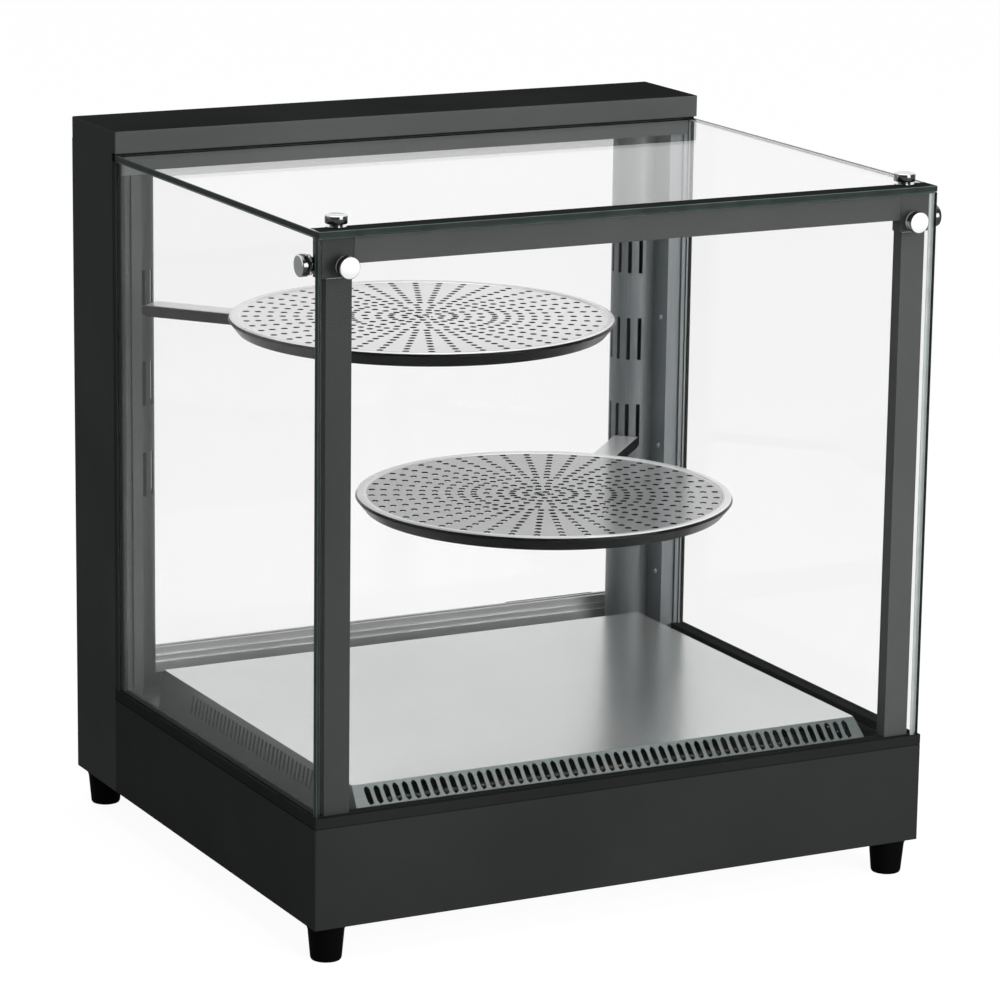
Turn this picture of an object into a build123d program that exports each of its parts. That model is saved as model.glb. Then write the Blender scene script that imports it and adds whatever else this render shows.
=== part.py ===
"""Heated countertop display case: glass cube on a heated base, with two
perforated plates carried by hooked arms in slotted rear posts.

Millimetres. +X is the case's right, +Y its back, +Z up. The origin is on the
surface that the feet stand on, in the middle of the bounding box.
"""
import os
from math import cos, radians, sin, sqrt, tan

from build123d import *

os.makedirs("parts", exist_ok=True)

# Body
WIDTH = 690.0                # over the base's two sides
DEPTH = 610.0                # front face of the base to the back face
BASE_HEIGHT = 102.0          # folded steel base, without its trim
TRIM_HEIGHT = 11.0           # black frame on the base that seats the glass
TRIM_WIDTH = 18.0
CASE_HEIGHT = 573.0          # top of the trim to the top of the glass roof
SHEET = 1.5                  # folded black steel
RUN_GAP = 0.3                # between pieces that lie side by side
SEAM = 2.0                   # open line between glass roof and header cap

# Feet
FOOT_HEIGHT = 38.0
FOOT_TOP_R = 19.0
FOOT_BOTTOM_R = 15.5
FOOT_INSET = 23.0            # foot axis from the base's faces
FOOT_SCREW_R = 3.0
FOOT_HEAD_R = 5.5            # screw head under the foot, nut above the sheet
FOOT_BORE = 8.0              # depth of the recess round the screw head
FIT = 0.2                    # round a screw that passes through a hole
BOTTOM_FLANGE = 52.0         # folded border round the underside

# Header and columns at the back
HEADER_DEPTH = 118.0
CAP_HEIGHT = 23.0
BAND_HEIGHT = 23.5
BAND_RECESS = 1.5
CAP_LIP = 10.0
CHANNEL_DEPTH = 8.0          # glazing channel in front of each column
PANEL_RETURN = 22.0          # folded rear edge of a side panel

# Glass
GLASS = 6.0
GLASS_INSET = 2.5            # glass face behind the base's face
GLASS_SEAT = 3.5             # depth of the groove that seats a pane
CORNER_GAP = 0.5             # between panes that meet at a corner

# Black border behind the front glass
BORDER_WIDTH = 27.0
BORDER_DEPTH = 15.0
BORDER_INSET = 13.0          # from the base's side face
BORDER_WALL = 1.5

# Chrome knobs that clamp the panes
KNOB_R = 11.0
KNOB_CAP = 8.5
KNOB_NECK_R = 6.5
KNOB_NECK = 2.5
WASHER = 1.0
WASHER_R = 10.0
STUD_R = 3.0
STUD_HOLE_R = 4.5            # hole in the glass round a stud
STUD_GRIP = 8.0              # stud inside the corner block
KNOB_SIDE = 30.0             # stud axis from the case's side
KNOB_FRONT = 22.0            # stud axis behind the base's front face
KNOB_DROP = 34.0             # stud axis below the top of the glass roof
BLOCK_REACH = 12.0           # corner block past the stud axes

# Slotted posts
POST_SIDE = 32.0             # inner side face from the case's side
POST_FLAT = 32.0             # depth of that side face
POST_ROUND_SIDE = 42.0       # middle of the rounded part from the case's side
POST_R = 26.0                # rounded part that holds the slots
POST_GROOVE = 8.0            # width of the groove in the post's front face
POST_GROOVE_SIDE = 10.0      # from the groove to the inner side face
POST_GROOVE_DEPTH = 3.0
POST_LIP = 6.0               # folded edge beside the glazing channel
COLUMN_FLANGE = 22.0         # side panel's inner flange, screwed to the post
SLOT_WIDTH = 4.5
SLOT_LENGTH = 47.5
SLOT_PITCH = 98.0            # from one group of slots to the next
SLOT_GROUPS = 3
SLOTS_ACROSS = 4
SLOT_ANGLE = 27.3            # between neighbouring slots, round the post
FAN_ANGLE = 35.25            # middle of a group of slots, from the side axis
LOWEST_SLOT = 314.0          # lower end of the lowest slots above the base
SCREW_R = 3.0                # round head of a column screw
SCREW_HEAD = 1.5
SCREW_PITCH = 145.5
LOWEST_SCREW = 172.0         # above the base's underside
SCREW_COUNT = 3

# Arms, seats and plates
UPPER_ANGLE = 50.8           # from the side axis
LOWER_ANGLE = 47.1
UPPER_REACH = 337.4          # post's round centre to the plate's centre
LOWER_REACH = 379.8
ARM_WIDTH = 28.0
ARM_DEPTH = 12.0
ARM_SHEET = 2.0
ARM_RISE = 11.0              # arm's top above the slot's lower end
ARM_TIP = 70.0               # arm beyond the plate's centre
ARM_NOSE = 0.5               # arm's end in front of the post
HOOK = 1.2                   # thickness of a hook
HOOK_DROP = 8.0              # tooth below the slot's lower end
HOOK_TOOTH = 5.0
HOOK_ROOT = 14.0             # hook inside the arm
LIFT_GAP = 0.3               # hook above the slot's end, tooth behind the wall
SEAT_R = 60.0
SEAT_WALL = 1.5
SEAT_GAP = 0.2               # plate above its seat and arm
PLATE_R = 195.3
PLATE_HEIGHT = 12.5
PLATE_SHEET = 1.0
PLATE_BASE_R = 186.8         # foot of the plate's tapered skirt
PLATE_FLOOR_R = 185.8        # flat perforated floor
BEAD_RISE = 1.6              # raised edge above the floor
HOLE_R = 3.5
HOLE_SPOKES = 22
HOLE_RINGS = 5
RING_PITCH = 33.5            # between rings of holes
LAST_RING = 181.3            # radius of the outermost ring

# Deck and the tray beneath it
DECK_RISE = 16.0             # deck above the top of the trim
DECK_SHEET = 1.2
DECK_SIDE = 58.0             # deck's edge from the case's side
DECK_FRONT = 41.0            # deck's front edge behind the base's face
DECK_SLOPE = 19.0            # front flange, out and down alike
DECK_TILT = 9.5              # side skirts from upright, degrees
DECK_BACK_GAP = 7.0          # deck's rear edge behind the header's front
TRAY_DROP = 30.0             # tray floor below the top of the trim
TRAY_LIP = 7.0
VENT_PITCH = 10.3            # vents in the front flange
VENT_WIDTH = 6.2
VENT_LENGTH = 20.5
FRONT_VENTS = 54
SIDE_VENT_PITCH = 9.2
SIDE_VENT_WIDTH = 4.6
SIDE_VENTS = 40
SIDE_VENT_DROP = 17.0        # middle of a side vent below the deck
SIDE_VENT_LENGTH = 19.0
SIDE_VENT_START = 58.0       # first side vent from the base's face

# Lamp in the header
LAMP_HALF = 265.0
LAMP_WIDTH = 24.0
LAMP_HEIGHT = 10.0
LAMP_BACK = 34.0             # lamp's middle behind the header's front
LAMP_EDGE = 5.0              # diffuser on the sheet round its window
DIFFUSER = 2.5
LED = 5.0                    # side of one light on the strip
LED_PITCH = 50.0
LED_EDGE = 5.0               # strip's end short of the channel's
LED_BOARD = 1.6

# Heating and air
ELEMENT_R = 4.0
ELEMENT_RISE = 16.0          # tube axis above the tray floor
ELEMENT_HALF = 240.0         # half the length of a run
ELEMENT_FRONT = 70.0         # first run behind the base's face
ELEMENT_PITCH = 52.0
ELEMENT_RUNS = 6
ELEMENT_TAIL = 18.0          # ends below the tray
SUPPORT_WIDTH = 12.0
SUPPORT_SIDE = 150.0
FAN_BACK = 90.0              # fan's axis in front of the header's face
FAN_SIZE = 120.0
FAN_HEIGHT = 25.0
FAN_CORNER_R = 5.0
FAN_SCREW_INSET = 7.5        # screw holes from the frame's sides
FAN_SCREW_R = 2.2
FAN_SPOKE = 6.0              # width of the struts that hold the motor
FAN_BORE_R = 56.0
FAN_HUB_R = 21.0
FAN_BLADES = 7
FAN_BLADE = 1.5
FAN_CHORD = 18.0
FAN_TIP_GAP = 1.5
FAN_SHAFT_R = 2.5
FAN_BOSS = 6.0               # motor boss at the frame's lower side
SENSOR_R = 3.2
SENSOR_LENGTH = 90.0
SENSOR_RISE = 12.0
TERMINAL_WIDTH = 72.0        # terminal block on the bottom plate
TERMINAL_DEPTH = 24.0
TERMINAL_BACK = 90.0         # its middle in front of the case's back face
SHAFT_GAP = 0.05             # radial running gap of a turning shaft

# Rear door
DOOR_SIDE_GAP = 26.0         # leaf's edge from the case's side
DOOR_GAP = 2.0               # above and below the leaf
PIVOT_INSET = 36.0           # hinge axis from the case's side
PIVOT_BACK = 12.0            # hinge axis from the case's back face
PIVOT_R = 4.0
PIVOT_LENGTH = 8.0           # pin inside the sill or the header
RAIL_HEIGHT = 12.0
RAIL_THICK = 14.0
RAIL_GRIP = 8.0              # glass inside a rail
SILL_DEPTH = 26.0
STOP_RISE = 4.0              # sill's upstand in front of the closed door
STOP_WIDTH = 4.0
PULL_WIDTH = 110.0           # finger lip on the lower rail's back
PULL_SIDE = 60.0             # its outer end from the case's side
PULL_PROUD = 14.0            # behind the case's back face
PULL_SHEET = 2.5

# Controls in the back of the base
PANEL_WIDTH = 250.0
PANEL_HEIGHT = 66.0
PANEL_SHIFT = 150.0          # panel's middle from the case's middle
PANEL_SHEET = 2.0
DIAL_R = 19.0
DIAL_LENGTH = 16.0
DIAL_GAP = 0.6
DIAL_SHIFT = 70.0            # controls from the panel's middle
DIAL_SHAFT_R = 3.0
THERMOSTAT_SIZE = 40.0
THERMOSTAT_DEPTH = 30.0
HEATER_SHIFT = 10.0
LAMP_SHIFT = 38.0
PILOT_SHIFT = 85.0
PILOT_R = 5.0
ROCKER_WIDTH = 13.0
ROCKER_HALF = 12.0           # from its pivot to its end
ROCKER_RISE = 7.0            # from its pivot to its top corners
ROCKER_TILT = 8.0            # either way from the middle
ROCKER_DEPTH = 5.0           # pivot below the bezel's face
ROCKER_PIN_R = 1.5
BEZEL = 2.0                  # thickness and overhang of a switch's bezel
SWITCH_WALL = 1.5
SWITCH_DEPTH = 22.0
LOUVRE_COUNT = 13
LOUVRE_PITCH = 14.0
PANEL_RIM = 6.0              # panel round its window in the base
PANEL_SCREW_R = 1.5
GLAND_SIDE = 50.0            # cable gland from the case's side
GLAND_R = 8.0

# Levels and planes that follow from these
BASE_Z = FOOT_HEIGHT
TRIM_Z = BASE_Z + BASE_HEIGHT
SILL_Z = TRIM_Z + TRIM_HEIGHT
ROOF_TOP = SILL_Z + CASE_HEIGHT
ROOF_Z = ROOF_TOP - GLASS
CAP_Z = ROOF_TOP + SEAM
BAND_Z = CAP_Z - BAND_HEIGHT
TOP_Z = CAP_Z + CAP_HEIGHT
TRAY_Z = SILL_Z - TRAY_DROP
DECK_Z = SILL_Z + DECK_RISE

HALF = WIDTH / 2
KNOB_PROUD = WASHER + KNOB_NECK + KNOB_CAP - GLASS_INSET
BACK_PROUD = max(PANEL_SHEET + DIAL_GAP + DIAL_LENGTH, PULL_PROUD)
FRONT = (KNOB_PROUD - DEPTH - BACK_PROUD) / 2
BACK = FRONT + DEPTH
HEADER_Y = BACK - HEADER_DEPTH
LAMP_Y = HEADER_Y + LAMP_BACK
CHANNEL_Y = HEADER_Y + BAND_RECESS
COLUMN_Y = CHANNEL_Y + CHANNEL_DEPTH
SIDE_IN = SHEET + RUN_GAP    # what stands inside a side panel starts here

GLASS_FACE_X = HALF - GLASS_INSET
GLASS_FACE_Y = FRONT + GLASS_INSET
PANE_Z = SILL_Z - GLASS_SEAT + RUN_GAP
PANE_TOP = ROOF_Z - CORNER_GAP

POST_CENTRE_X = HALF - POST_ROUND_SIDE
POST_FRONT_Y = CHANNEL_Y + RUN_GAP
POST_ROUND_Y = POST_FRONT_Y + POST_FLAT + POST_R
POST_BACK_Y = POST_ROUND_Y + POST_R
PIVOT_X = HALF - PIVOT_INSET
PIVOT_Y = BACK - PIVOT_BACK
KNOB_Z = ROOF_TOP - KNOB_DROP


FOOT_SPOTS = [(x, y) for x in (-HALF + FOOT_INSET, HALF - FOOT_INSET)
              for y in (FRONT + FOOT_INSET, BACK - FOOT_INSET)]
CONTROL_Z = BASE_Z + BASE_HEIGHT / 2
ELEMENT_START = FRONT + ELEMENT_FRONT
ELEMENT_END = ELEMENT_START + (ELEMENT_RUNS - 1) * ELEMENT_PITCH
FAN_Y = HEADER_Y - FAN_BACK


def save(solid, name):
    """Label a finished piece and write its STEP file."""
    solid.label = name
    export_step(solid, f"parts/{name}.step")


def slab(x0, x1, y0, y1, z0, z1, mode=Mode.ADD):
    """Rectangular block between two corners, in the current part."""
    with Locations(((x0 + x1) / 2, (y0 + y1) / 2, (z0 + z1) / 2)):
        Box(x1 - x0, y1 - y0, z1 - z0, mode=mode)


def mirrored(left):
    """The right-hand twin of a left-hand piece."""
    with BuildPart() as twin:
        mirror(left, about=Plane.YZ)
    return twin.part


# Base: folded steel housing, bottom plate, feet

NARROW_Y = COLUMN_Y - RUN_GAP      # behind this the side panels lap the base

with BuildPart() as base_housing:
    with BuildSketch(Plane.XY.offset(BASE_Z)) as base_outline:
        with Locations((0, (FRONT + NARROW_Y) / 2)):
            Rectangle(WIDTH, NARROW_Y - FRONT)
        with Locations((0, (FRONT + BACK) / 2)):
            Rectangle(WIDTH - 2 * SIDE_IN, DEPTH)
    extrude(amount=BASE_HEIGHT)
    fillet(base_housing.edges().filter_by(Axis.Z).group_by(Axis.Y)[0], radius=2.0)
    with BuildSketch(Plane.XY.offset(BASE_Z + SHEET)):
        offset(base_outline.sketch, amount=-SHEET, kind=Kind.INTERSECTION)
    extrude(amount=BASE_HEIGHT - 2 * SHEET, mode=Mode.SUBTRACT)
    slab(-HALF + BOTTOM_FLANGE, HALF - BOTTOM_FLANGE, FRONT + BOTTOM_FLANGE,
         BACK - BOTTOM_FLANGE, BASE_Z, BASE_Z + SHEET, Mode.SUBTRACT)
    slab(-HALF + TRIM_WIDTH, HALF - TRIM_WIDTH, FRONT + TRIM_WIDTH,
         BACK - TRIM_WIDTH, TRIM_Z - SHEET, TRIM_Z, Mode.SUBTRACT)
    # window behind the control panel and cooling louvres beside it
    with BuildSketch(Plane.XZ.offset(-BACK)):
        with Locations((PANEL_SHIFT, CONTROL_Z)):
            Rectangle(PANEL_WIDTH - 2 * PANEL_RIM, PANEL_HEIGHT - 2 * PANEL_RIM)
            with GridLocations(PANEL_WIDTH - PANEL_RIM, PANEL_HEIGHT - PANEL_RIM, 2, 2):
                Circle(PANEL_SCREW_R + FIT)
        with Locations((-PANEL_SHIFT, CONTROL_Z)):
            with GridLocations(LOUVRE_PITCH, 1, LOUVRE_COUNT, 1):
                Rectangle(6, 52)
        with Locations((-HALF + GLAND_SIDE, CONTROL_Z)):
            Circle(GLAND_R + FIT)
    extrude(amount=SHEET * 2, mode=Mode.SUBTRACT)
    with Locations(*[(x, y, BASE_Z) for x, y in FOOT_SPOTS]):
        Cylinder(FOOT_SCREW_R + FIT, 4 * SHEET, mode=Mode.SUBTRACT)
save(base_housing.part, "base_housing")

PLATE_GAP = SIDE_IN + SHEET + 1.0
BASE_VENT_PITCH = 30
BASE_VENT_WIDTH = 8
BASE_VENT_LENGTH = 50
BASE_VENT_WEB = 20           # sheet left between the two rows
with BuildPart() as bottom_plate:
    slab(-HALF + PLATE_GAP, HALF - PLATE_GAP, FRONT + PLATE_GAP, BACK - PLATE_GAP,
         BASE_Z + SHEET, BASE_Z + 2 * SHEET)
    with BuildSketch(Plane.XY.offset(BASE_Z + SHEET)):
        with Locations((0, FRONT + DEPTH / 3)):
            with GridLocations(BASE_VENT_PITCH, BASE_VENT_LENGTH + BASE_VENT_WEB, 10, 2):
                Rectangle(BASE_VENT_WIDTH, BASE_VENT_LENGTH)
    extrude(amount=SHEET, mode=Mode.SUBTRACT)
    with Locations(*[(x, y, BASE_Z) for x, y in FOOT_SPOTS]):
        Cylinder(FOOT_SCREW_R + FIT, 6 * SHEET, mode=Mode.SUBTRACT)
save(bottom_plate.part, "bottom_plate")

with BuildPart() as foot:
    with BuildSketch(Plane.XZ):
        with BuildLine():
            Polyline((FOOT_SCREW_R + FIT, FOOT_BORE), (FOOT_HEAD_R + 1, FOOT_BORE), (FOOT_HEAD_R + 1, 0),
                     (FOOT_BOTTOM_R - 2, 0), (FOOT_BOTTOM_R, 2), (FOOT_TOP_R - 0.5, FOOT_HEIGHT - 6),
                     (FOOT_TOP_R, FOOT_HEIGHT - 5), (FOOT_TOP_R, FOOT_HEIGHT),
                     (FOOT_SCREW_R + FIT, FOOT_HEIGHT), (FOOT_SCREW_R + FIT, FOOT_BORE))
        make_face()
    revolve(axis=Axis.Z)
with BuildPart() as rubber_feet:
    with Locations(*FOOT_SPOTS):
        add(foot.part)
save(rubber_feet.part, "rubber_feet")

with BuildPart() as foot_screws:
    with Locations(*FOOT_SPOTS):
        with Locations((0, 0, FOOT_BORE - 4)):
            Cylinder(FOOT_HEAD_R, 4, align=(Align.CENTER, Align.CENTER, Align.MIN))
        with Locations((0, 0, FOOT_BORE)):
            Cylinder(FOOT_SCREW_R, FOOT_HEIGHT - FOOT_BORE + 2 * SHEET + 6,
                     align=(Align.CENTER, Align.CENTER, Align.MIN))
        with Locations((0, 0, BASE_Z + 2 * SHEET)):
            Cylinder(FOOT_HEAD_R, 4, align=(Align.CENTER, Align.CENTER, Align.MIN))
save(foot_screws.part, "foot_screws")

# Trim: three-sided black frame with the groove that seats the panes

TRIM_BACK = COLUMN_Y - RUN_GAP
CHANNEL_WALL = 1.7
CHANNEL_GRIP = 5.0
CHANNEL_OUT = GLASS_INSET - CHANNEL_WALL
CHANNEL_WIDTH = GLASS + 2 * CHANNEL_WALL
GROOVE = GLASS + 2 * RUN_GAP
GROOVE_IN = GLASS_INSET - RUN_GAP
with BuildPart() as base_trim:
    slab(-HALF, HALF, FRONT, TRIM_BACK, TRIM_Z, SILL_Z)
    fillet(base_trim.edges().filter_by(Axis.Z).group_by(Axis.Y)[0], radius=2.0)
    slab(-HALF + TRIM_WIDTH, HALF - TRIM_WIDTH, FRONT + TRIM_WIDTH, TRIM_BACK,
         TRIM_Z, SILL_Z, Mode.SUBTRACT)
    # glass groove, then the rebate over the tray's lip
    slab(-HALF + GROOVE_IN, HALF - GROOVE_IN, FRONT + GROOVE_IN, FRONT + GROOVE_IN + GROOVE,
         SILL_Z - GLASS_SEAT, SILL_Z, Mode.SUBTRACT)
    for side in (-1, 1):
        edges = sorted((side * (HALF - GROOVE_IN), side * (HALF - GROOVE_IN - GROOVE)))
        slab(*edges, FRONT + GROOVE_IN, TRIM_BACK, SILL_Z - GLASS_SEAT, SILL_Z, Mode.SUBTRACT)
    REBATE = TRIM_WIDTH - TRAY_LIP - RUN_GAP
    slab(-HALF + REBATE, HALF - REBATE, FRONT + REBATE, TRIM_BACK,
         TRIM_Z, TRIM_Z + SHEET + RUN_GAP, Mode.SUBTRACT)
    # notches for the feet of the slotted posts
    for side in (-1, 1):
        edges = sorted((side * (HALF - TRIM_WIDTH), side * (HALF - CHANNEL_OUT - CHANNEL_WIDTH)))
        slab(*edges, POST_FRONT_Y - RUN_GAP, TRIM_BACK, TRIM_Z, SILL_Z, Mode.SUBTRACT)
    # shadow line where the frame meets the base
    with BuildSketch(Plane.XY.offset(TRIM_Z)):
        with Locations((0, (FRONT + TRIM_BACK) / 2)):
            Rectangle(WIDTH, TRIM_BACK - FRONT)
        with Locations((0, (FRONT + 1 + TRIM_BACK) / 2)):
            Rectangle(WIDTH - 2, TRIM_BACK - FRONT - 1, mode=Mode.SUBTRACT)
    extrude(amount=1.2, mode=Mode.SUBTRACT)
save(base_trim.part, "base_trim")

# Tray: hangs from the housing's top flange and closes the heated space below

TRAY_SIDE = TRIM_WIDTH + RUN_GAP
TRAY_BACK = BACK - TRIM_WIDTH - RUN_GAP
with BuildPart() as plenum_tray:
    slab(-HALF + TRAY_SIDE, HALF - TRAY_SIDE, FRONT + TRAY_SIDE, TRAY_BACK, TRAY_Z, TRIM_Z + SHEET)
    slab(-HALF + TRAY_SIDE + SHEET, HALF - TRAY_SIDE - SHEET, FRONT + TRAY_SIDE + SHEET,
         TRAY_BACK - SHEET, TRAY_Z + SHEET, TRIM_Z + SHEET, Mode.SUBTRACT)
    # rear wall and the ends of the side walls stay below the door's sill
    slab(-HALF + TRAY_SIDE, HALF - TRAY_SIDE, BACK - SHEET - SILL_DEPTH - 2 * RUN_GAP, TRAY_BACK,
         TRIM_Z, TRIM_Z + SHEET, Mode.SUBTRACT)
    LIP_OUT = TRIM_WIDTH - TRAY_LIP
    slab(-HALF + LIP_OUT, HALF - LIP_OUT, FRONT + LIP_OUT, FRONT + TRAY_SIDE, TRIM_Z, TRIM_Z + SHEET)
    for side in (-1, 1):
        edges = sorted((side * (HALF - LIP_OUT), side * (HALF - TRAY_SIDE)))
        slab(*edges, FRONT + LIP_OUT, TRIM_BACK, TRIM_Z, TRIM_Z + SHEET)
    # fan opening in the floor
    with Locations((0, FAN_Y, TRAY_Z)):
        Cylinder(FAN_BORE_R, 3 * SHEET, mode=Mode.SUBTRACT)
    # holes for the two ends of the heating element
    with Locations((-ELEMENT_HALF, ELEMENT_START, TRAY_Z), (-ELEMENT_HALF, ELEMENT_END, TRAY_Z)):
        Cylinder(ELEMENT_R + FIT, 3 * SHEET, mode=Mode.SUBTRACT)
save(plenum_tray.part, "plenum_tray")

# Deck: stainless plate with slotted skirts, standing on the tray's floor

DECK_FOOT_Z = TRAY_Z + SHEET
DECK_HEIGHT = DECK_Z - DECK_FOOT_Z
DECK_HALF = HALF - DECK_SIDE
DECK_FRONT_Y = FRONT + DECK_FRONT
DECK_BACK_Y = HEADER_Y + DECK_BACK_GAP
DECK_FLARE = DECK_HEIGHT * tan(radians(DECK_TILT))
DECK_MID_Y = (DECK_FRONT_Y + DECK_BACK_Y) / 2

with BuildSketch() as vent:
    Rectangle(VENT_WIDTH, VENT_LENGTH)
    chamfer(vent.vertices(), length=0.5 * VENT_WIDTH, length2=0.3 * VENT_WIDTH)
with BuildPart() as deck_plate:
    with BuildSketch(Plane.YZ):
        with BuildLine():
            Polyline((DECK_FRONT_Y, DECK_Z), (DECK_BACK_Y, DECK_Z), (DECK_BACK_Y, DECK_FOOT_Z),
                     (DECK_FRONT_Y - DECK_SLOPE, DECK_FOOT_Z),
                     (DECK_FRONT_Y - DECK_SLOPE, DECK_Z - DECK_SLOPE), (DECK_FRONT_Y, DECK_Z))
        make_face()
    extrude(amount=HALF, both=True)
    with BuildSketch(Plane.XZ.offset(-DECK_MID_Y)):
        with BuildLine():
            Polyline((-DECK_HALF, DECK_Z), (DECK_HALF, DECK_Z), (DECK_HALF + DECK_FLARE, DECK_FOOT_Z),
                     (-DECK_HALF - DECK_FLARE, DECK_FOOT_Z), (-DECK_HALF, DECK_Z))
        make_face()
    extrude(amount=DEPTH, both=True, mode=Mode.INTERSECT)
    offset(amount=-DECK_SHEET, openings=deck_plate.faces().sort_by(Axis.Z)[0], kind=Kind.INTERSECTION)
    # row of round-ended vents down the sloping front flange
    flange_mid = (0, DECK_FRONT_Y - DECK_SLOPE / 2, DECK_Z - DECK_SLOPE / 2)
    with BuildSketch(Plane(origin=flange_mid, x_dir=(1, 0, 0), z_dir=(0, -1, 1))):
        with GridLocations(VENT_PITCH, 1, FRONT_VENTS, 1):
            add(vent.sketch)
    extrude(amount=3 * DECK_SHEET, both=True, mode=Mode.SUBTRACT)
    # vents through both side skirts
    side_mid_y = FRONT + SIDE_VENT_START + (SIDE_VENTS - 1) * SIDE_VENT_PITCH / 2
    with BuildSketch(Plane(origin=(0, side_mid_y, DECK_Z - SIDE_VENT_DROP), x_dir=(0, 1, 0),
                           z_dir=(1, 0, 0))):
        with GridLocations(SIDE_VENT_PITCH, 1, SIDE_VENTS, 1):
            Rectangle(SIDE_VENT_WIDTH, SIDE_VENT_LENGTH)
    extrude(amount=HALF, both=True, mode=Mode.SUBTRACT)
save(deck_plate.part, "deck_plate")

# Columns: side panels, glazing channels, slotted posts

FLANGE_X = -HALF + POST_SIDE - SHEET - RUN_GAP
RETURN_Z = TRIM_Z + SHEET + RUN_GAP
SCREW_Y = COLUMN_Y + COLUMN_FLANGE / 4
SCREW_LEVELS = [BASE_Z + LOWEST_SCREW + step * SCREW_PITCH for step in range(SCREW_COUNT)]
with BuildPart() as side_panel:
    slab(-HALF, -HALF + SHEET, COLUMN_Y, BACK, BASE_Z, CAP_Z)
    slab(-HALF, -HALF + PANEL_RETURN, BACK - SHEET, BACK, TRIM_Z + RUN_GAP, CAP_Z)
    slab(-HALF, FLANGE_X, COLUMN_Y, COLUMN_Y + SHEET, RETURN_Z, BAND_Z - RUN_GAP)
    slab(FLANGE_X - SHEET, FLANGE_X, COLUMN_Y, COLUMN_Y + COLUMN_FLANGE, RETURN_Z, BAND_Z - RUN_GAP)
    for screw_z in SCREW_LEVELS:
        with BuildSketch(Plane.YZ.offset(FLANGE_X - 2 * SHEET)):
            with Locations((SCREW_Y, screw_z)):
                Circle(SCREW_R / 2 + 0.1)
        extrude(amount=3 * SHEET, mode=Mode.SUBTRACT)
    fillet(side_panel.edges().filter_by(Axis.Z).filter_by_position(Axis.X, -HALF - 0.1, -HALF + 0.1),
           radius=1.0)
save(side_panel.part, "side_panel_left")
save(mirrored(side_panel.part), "side_panel_right")

with BuildPart() as glass_channel:
    slab(-HALF + CHANNEL_OUT, -HALF + CHANNEL_OUT + CHANNEL_WIDTH, CHANNEL_Y, COLUMN_Y - RUN_GAP,
         SILL_Z, PANE_TOP)
    slab(-HALF + GLASS_INSET - RUN_GAP, -HALF + GLASS_INSET + GLASS + RUN_GAP, CHANNEL_Y,
         CHANNEL_Y + CHANNEL_GRIP + RUN_GAP, SILL_Z, PANE_TOP, Mode.SUBTRACT)
save(glass_channel.part, "glass_channel_left")
save(mirrored(glass_channel.part), "glass_channel_right")

POST_X = -HALF + POST_SIDE         # left post's inner side face
POST_EDGE = -HALF + CHANNEL_OUT + CHANNEL_WIDTH + RUN_GAP
POST_BOTTOM = TRIM_Z + SHEET
POST_GROOVE_X = POST_X - POST_GROOVE_SIDE - POST_GROOVE
MID = SHEET / 2                    # from a sheet's face to its middle
with BuildPart() as slotted_post:
    with BuildSketch(Plane.XY.offset(POST_BOTTOM)):
        with BuildLine():
            Polyline((POST_EDGE + MID, POST_FRONT_Y + POST_LIP), (POST_EDGE + MID, POST_FRONT_Y + MID),
                     (POST_GROOVE_X, POST_FRONT_Y + MID),
                     (POST_GROOVE_X, POST_FRONT_Y + POST_GROOVE_DEPTH + MID),
                     (POST_GROOVE_X + POST_GROOVE, POST_FRONT_Y + POST_GROOVE_DEPTH + MID),
                     (POST_GROOVE_X + POST_GROOVE, POST_FRONT_Y + MID), (POST_X - MID, POST_FRONT_Y + MID),
                     (POST_X - MID, POST_FRONT_Y + POST_FLAT + MID),
                     (-POST_CENTRE_X, POST_FRONT_Y + POST_FLAT + MID))
            CenterArc((-POST_CENTRE_X, POST_ROUND_Y), POST_R - MID, -90, 180)
            Line((-POST_CENTRE_X, POST_BACK_Y - MID), (POST_X, POST_BACK_Y - MID))
            offset(amount=MID, kind=Kind.INTERSECTION, side=Side.BOTH)
        make_face()
    extrude(amount=BAND_Z - RUN_GAP - POST_BOTTOM)
    for group in range(SLOT_GROUPS):
        slot_mid = BASE_Z + LOWEST_SLOT + group * SLOT_PITCH + SLOT_LENGTH / 2
        for step in range(SLOTS_ACROSS):
            turn = -FAN_ANGLE + (step - (SLOTS_ACROSS - 1) / 2) * SLOT_ANGLE
            outward = (cos(radians(turn)), sin(radians(turn)), 0)
            with BuildSketch(Plane(origin=(-POST_CENTRE_X, POST_ROUND_Y, slot_mid), z_dir=outward,
                                   x_dir=(-outward[1], outward[0], 0))):
                Rectangle(SLOT_WIDTH, SLOT_LENGTH)
            extrude(amount=POST_R + 2 * SHEET, mode=Mode.SUBTRACT)
    # clearance holes for the screws into the side panel's flange
    for screw_z in SCREW_LEVELS:
        with BuildSketch(Plane.YZ.offset(POST_X - 2 * SHEET)):
            with Locations((SCREW_Y, screw_z)):
                Circle(SCREW_R / 2 + 0.1)
        extrude(amount=3 * SHEET, mode=Mode.SUBTRACT)
save(slotted_post.part, "slotted_post_left")
save(mirrored(slotted_post.part), "slotted_post_right")

with BuildPart() as left_screws:
    for screw_z in SCREW_LEVELS:
        with BuildSketch(Plane.YZ.offset(POST_X)):
            with Locations((SCREW_Y, screw_z)):
                Circle(SCREW_R)
        extrude(amount=SCREW_HEAD, taper=20)
        with BuildSketch(Plane.YZ.offset(POST_X)):
            with Locations((SCREW_Y, screw_z)):
                Circle(SCREW_R / 2)
        extrude(amount=-4 * SHEET)
with BuildPart() as column_screws:
    add(left_screws.part)
    mirror(left_screws.part, about=Plane.YZ)
save(column_screws.part, "column_screws")

# Header: folded band under a shallow cap, with the lamp inside

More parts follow.
